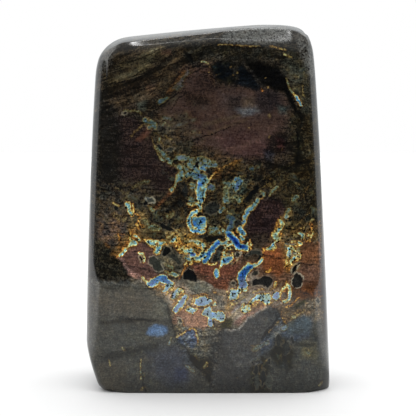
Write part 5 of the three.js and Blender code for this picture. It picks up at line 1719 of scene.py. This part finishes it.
# %% The height of the bright flash, frayed by the grain
# The grain frays the bands, and lets some parts sink and others rise.
height = stored("flash")
glow = stored("glow")
fine_fray = total(swing(grain, 1.2), swing(grit, 0.6), swing(slant, 1.0))
wide_fray = total(swing(streaks, 0.4), swing(mottle, 0.8), swing(wide, 0.4))
fray = product(total(fine_fray, wide_fray), graded(crushed, 0.55, 0.4))
height = total(height, product(fray, ramp_up(height, 0.02, 0.5)))
shown = product(ramp_up(height, 0.03, 0.26), glow, front_share)

# %% Its light, and fine clefts through the brightest parts
TABLE_SHEEN_WHITE = rgb(208, 206, 206)
TABLE_SHEEN_BELOW = (48, 41)  # millimetres up, where the painted reflection starts and is full
TABLE_SHEEN_SHARE = 0.28

sparkle = doublings(total(swing(grain, 4.4), swing(grit, 3.0), swing(mottle, 2.6), -0.15))
clefts = calc("MAXIMUM", product(hairline, 0.5), product(veinlets, 0.8))
clefts = calc("MAXIMUM", clefts, product(threads(mottle, 0.014), ramp_up(grain, 0.4, 0.55)))
bright_flash = flash_light(height, ramp_up(glow, 0.55, 0.92))
bright_flash = shaded(bright_flash, product(sparkle, rest_of(clefts)))
# Near the foot, where the polish mirrors the white table, the flash is painted paler: a painted reflection
# of the table.
table_sheen = product(ramp_up(mm_up, *TABLE_SHEEN_BELOW), ramp_up(height, 0.3, 0.7), TABLE_SHEEN_SHARE)
colour = tinted(shown, colour, tinted(table_sheen, bright_flash, TABLE_SHEEN_WHITE))
print_nodes("the bright flash")

# %% Grains, with their pale rims
GRAIN_GREY = rgb(62, 65, 58)
GRAIN_BLACK = rgb(9, 12, 14)
RIM_PALE = rgb(158, 152, 132)

depth = total(stored("grain_depth"), swing(grain, 1.3), swing(mottle, 0.9))
core = ramp_up(depth, -0.1, 0.2)
grain_colour = tinted(stored("grain_dark"), GRAIN_GREY, GRAIN_BLACK)
grain_colour = shaded(grain_colour, doublings(total(swing(mottle, 2.0), swing(grain, 3.0))))
colour = tinted(product(core, 0.96), colour, grain_colour)
at_rim = product(ramp_up(depth, -0.65, -0.3), ramp_up(depth, 0.15, -0.1))
pale_rim = product(at_rim, stored("grain_rim"), ramp_up(mottle, 0.38, 0.52))
colour = tinted(pale_rim, colour, RIM_PALE)
print_nodes("the dark grains")

# %% Cracks and black specks
CRACK_BLACK = rgb(7, 7, 7)
SPECK_BLACK = rgb(6, 6, 6)

gap = total(stored("crack_gap"), swing(grit, 0.7))
crack = product(ramp_up(gap, 0.2, -0.15), stored("crack_dark"), ramp_up(grain, 0.3, 0.5))
colour = tinted(crack, colour, CRACK_BLACK)
restless = calc("MAXIMUM", broken_rock, shown)
speck_cloud = total(clouds(0.95, detail=1, shift=(5, 77, 23)), product(restless, 0.07))
specks = product(ramp_up(speck_cloud, 0.66, 0.74), graded(restless, 0.2, 0.8))
colour = tinted(one_at_most(product(specks, 1.2)), colour, SPECK_BLACK)
print_nodes("the cracks and specks")

# %% Worn polish, and a painted sheen
# Where the polish is worn it is rougher. The pale colour, mottled by the grain, is painted reflection
# of the light that the bevel and the corners mirror.
PAINTED_SHEEN_PALE = rgb(112, 114, 110)

worn_and_sheen = stored("worn_and_sheen")
painted_sheen_mottle = ramp_up(total(product(grain, 0.7), product(grit, 0.3)), 0.38, 0.62)
colour = tinted(product(worn_and_sheen, painted_sheen_mottle, 0.7), colour, PAINTED_SHEEN_PALE)
wire(colour, polish.inputs["Base Color"])
print_nodes("every colour")

# %% Gloss, and the sawn base
LABRADORITE_IOR = 1.56
CRACK_DEPTH = 0.05 * MM
CRACK_STRENGTH = 0.2
SAWN_UP_TO = 0.3  # millimetres
SAWN_ROUGHNESS = 0.4

polish.inputs["IOR"].default_value = LABRADORITE_IOR
# The base keeps the dull face that the saw left.
sawn = product(ramp_up(mm_up, SAWN_UP_TO, 0.0), SAWN_ROUGHNESS)
flaws = calc("MAXIMUM", crack, product(core, 0.2))
roughness = total(graded(mottle, 0.025, 0.04), product(flaws, 0.12), product(worn_and_sheen, 0.1), sawn)
wire(roughness, polish.inputs["Roughness"])
bump = tree.nodes.new("ShaderNodeBump")
bump.inputs["Strength"].default_value = CRACK_STRENGTH
bump.inputs["Distance"].default_value = CRACK_DEPTH
wire(rest_of(crack), bump.inputs["Height"])
wire(bump.outputs[0], polish.inputs["Normal"])
print_nodes("the whole finish")
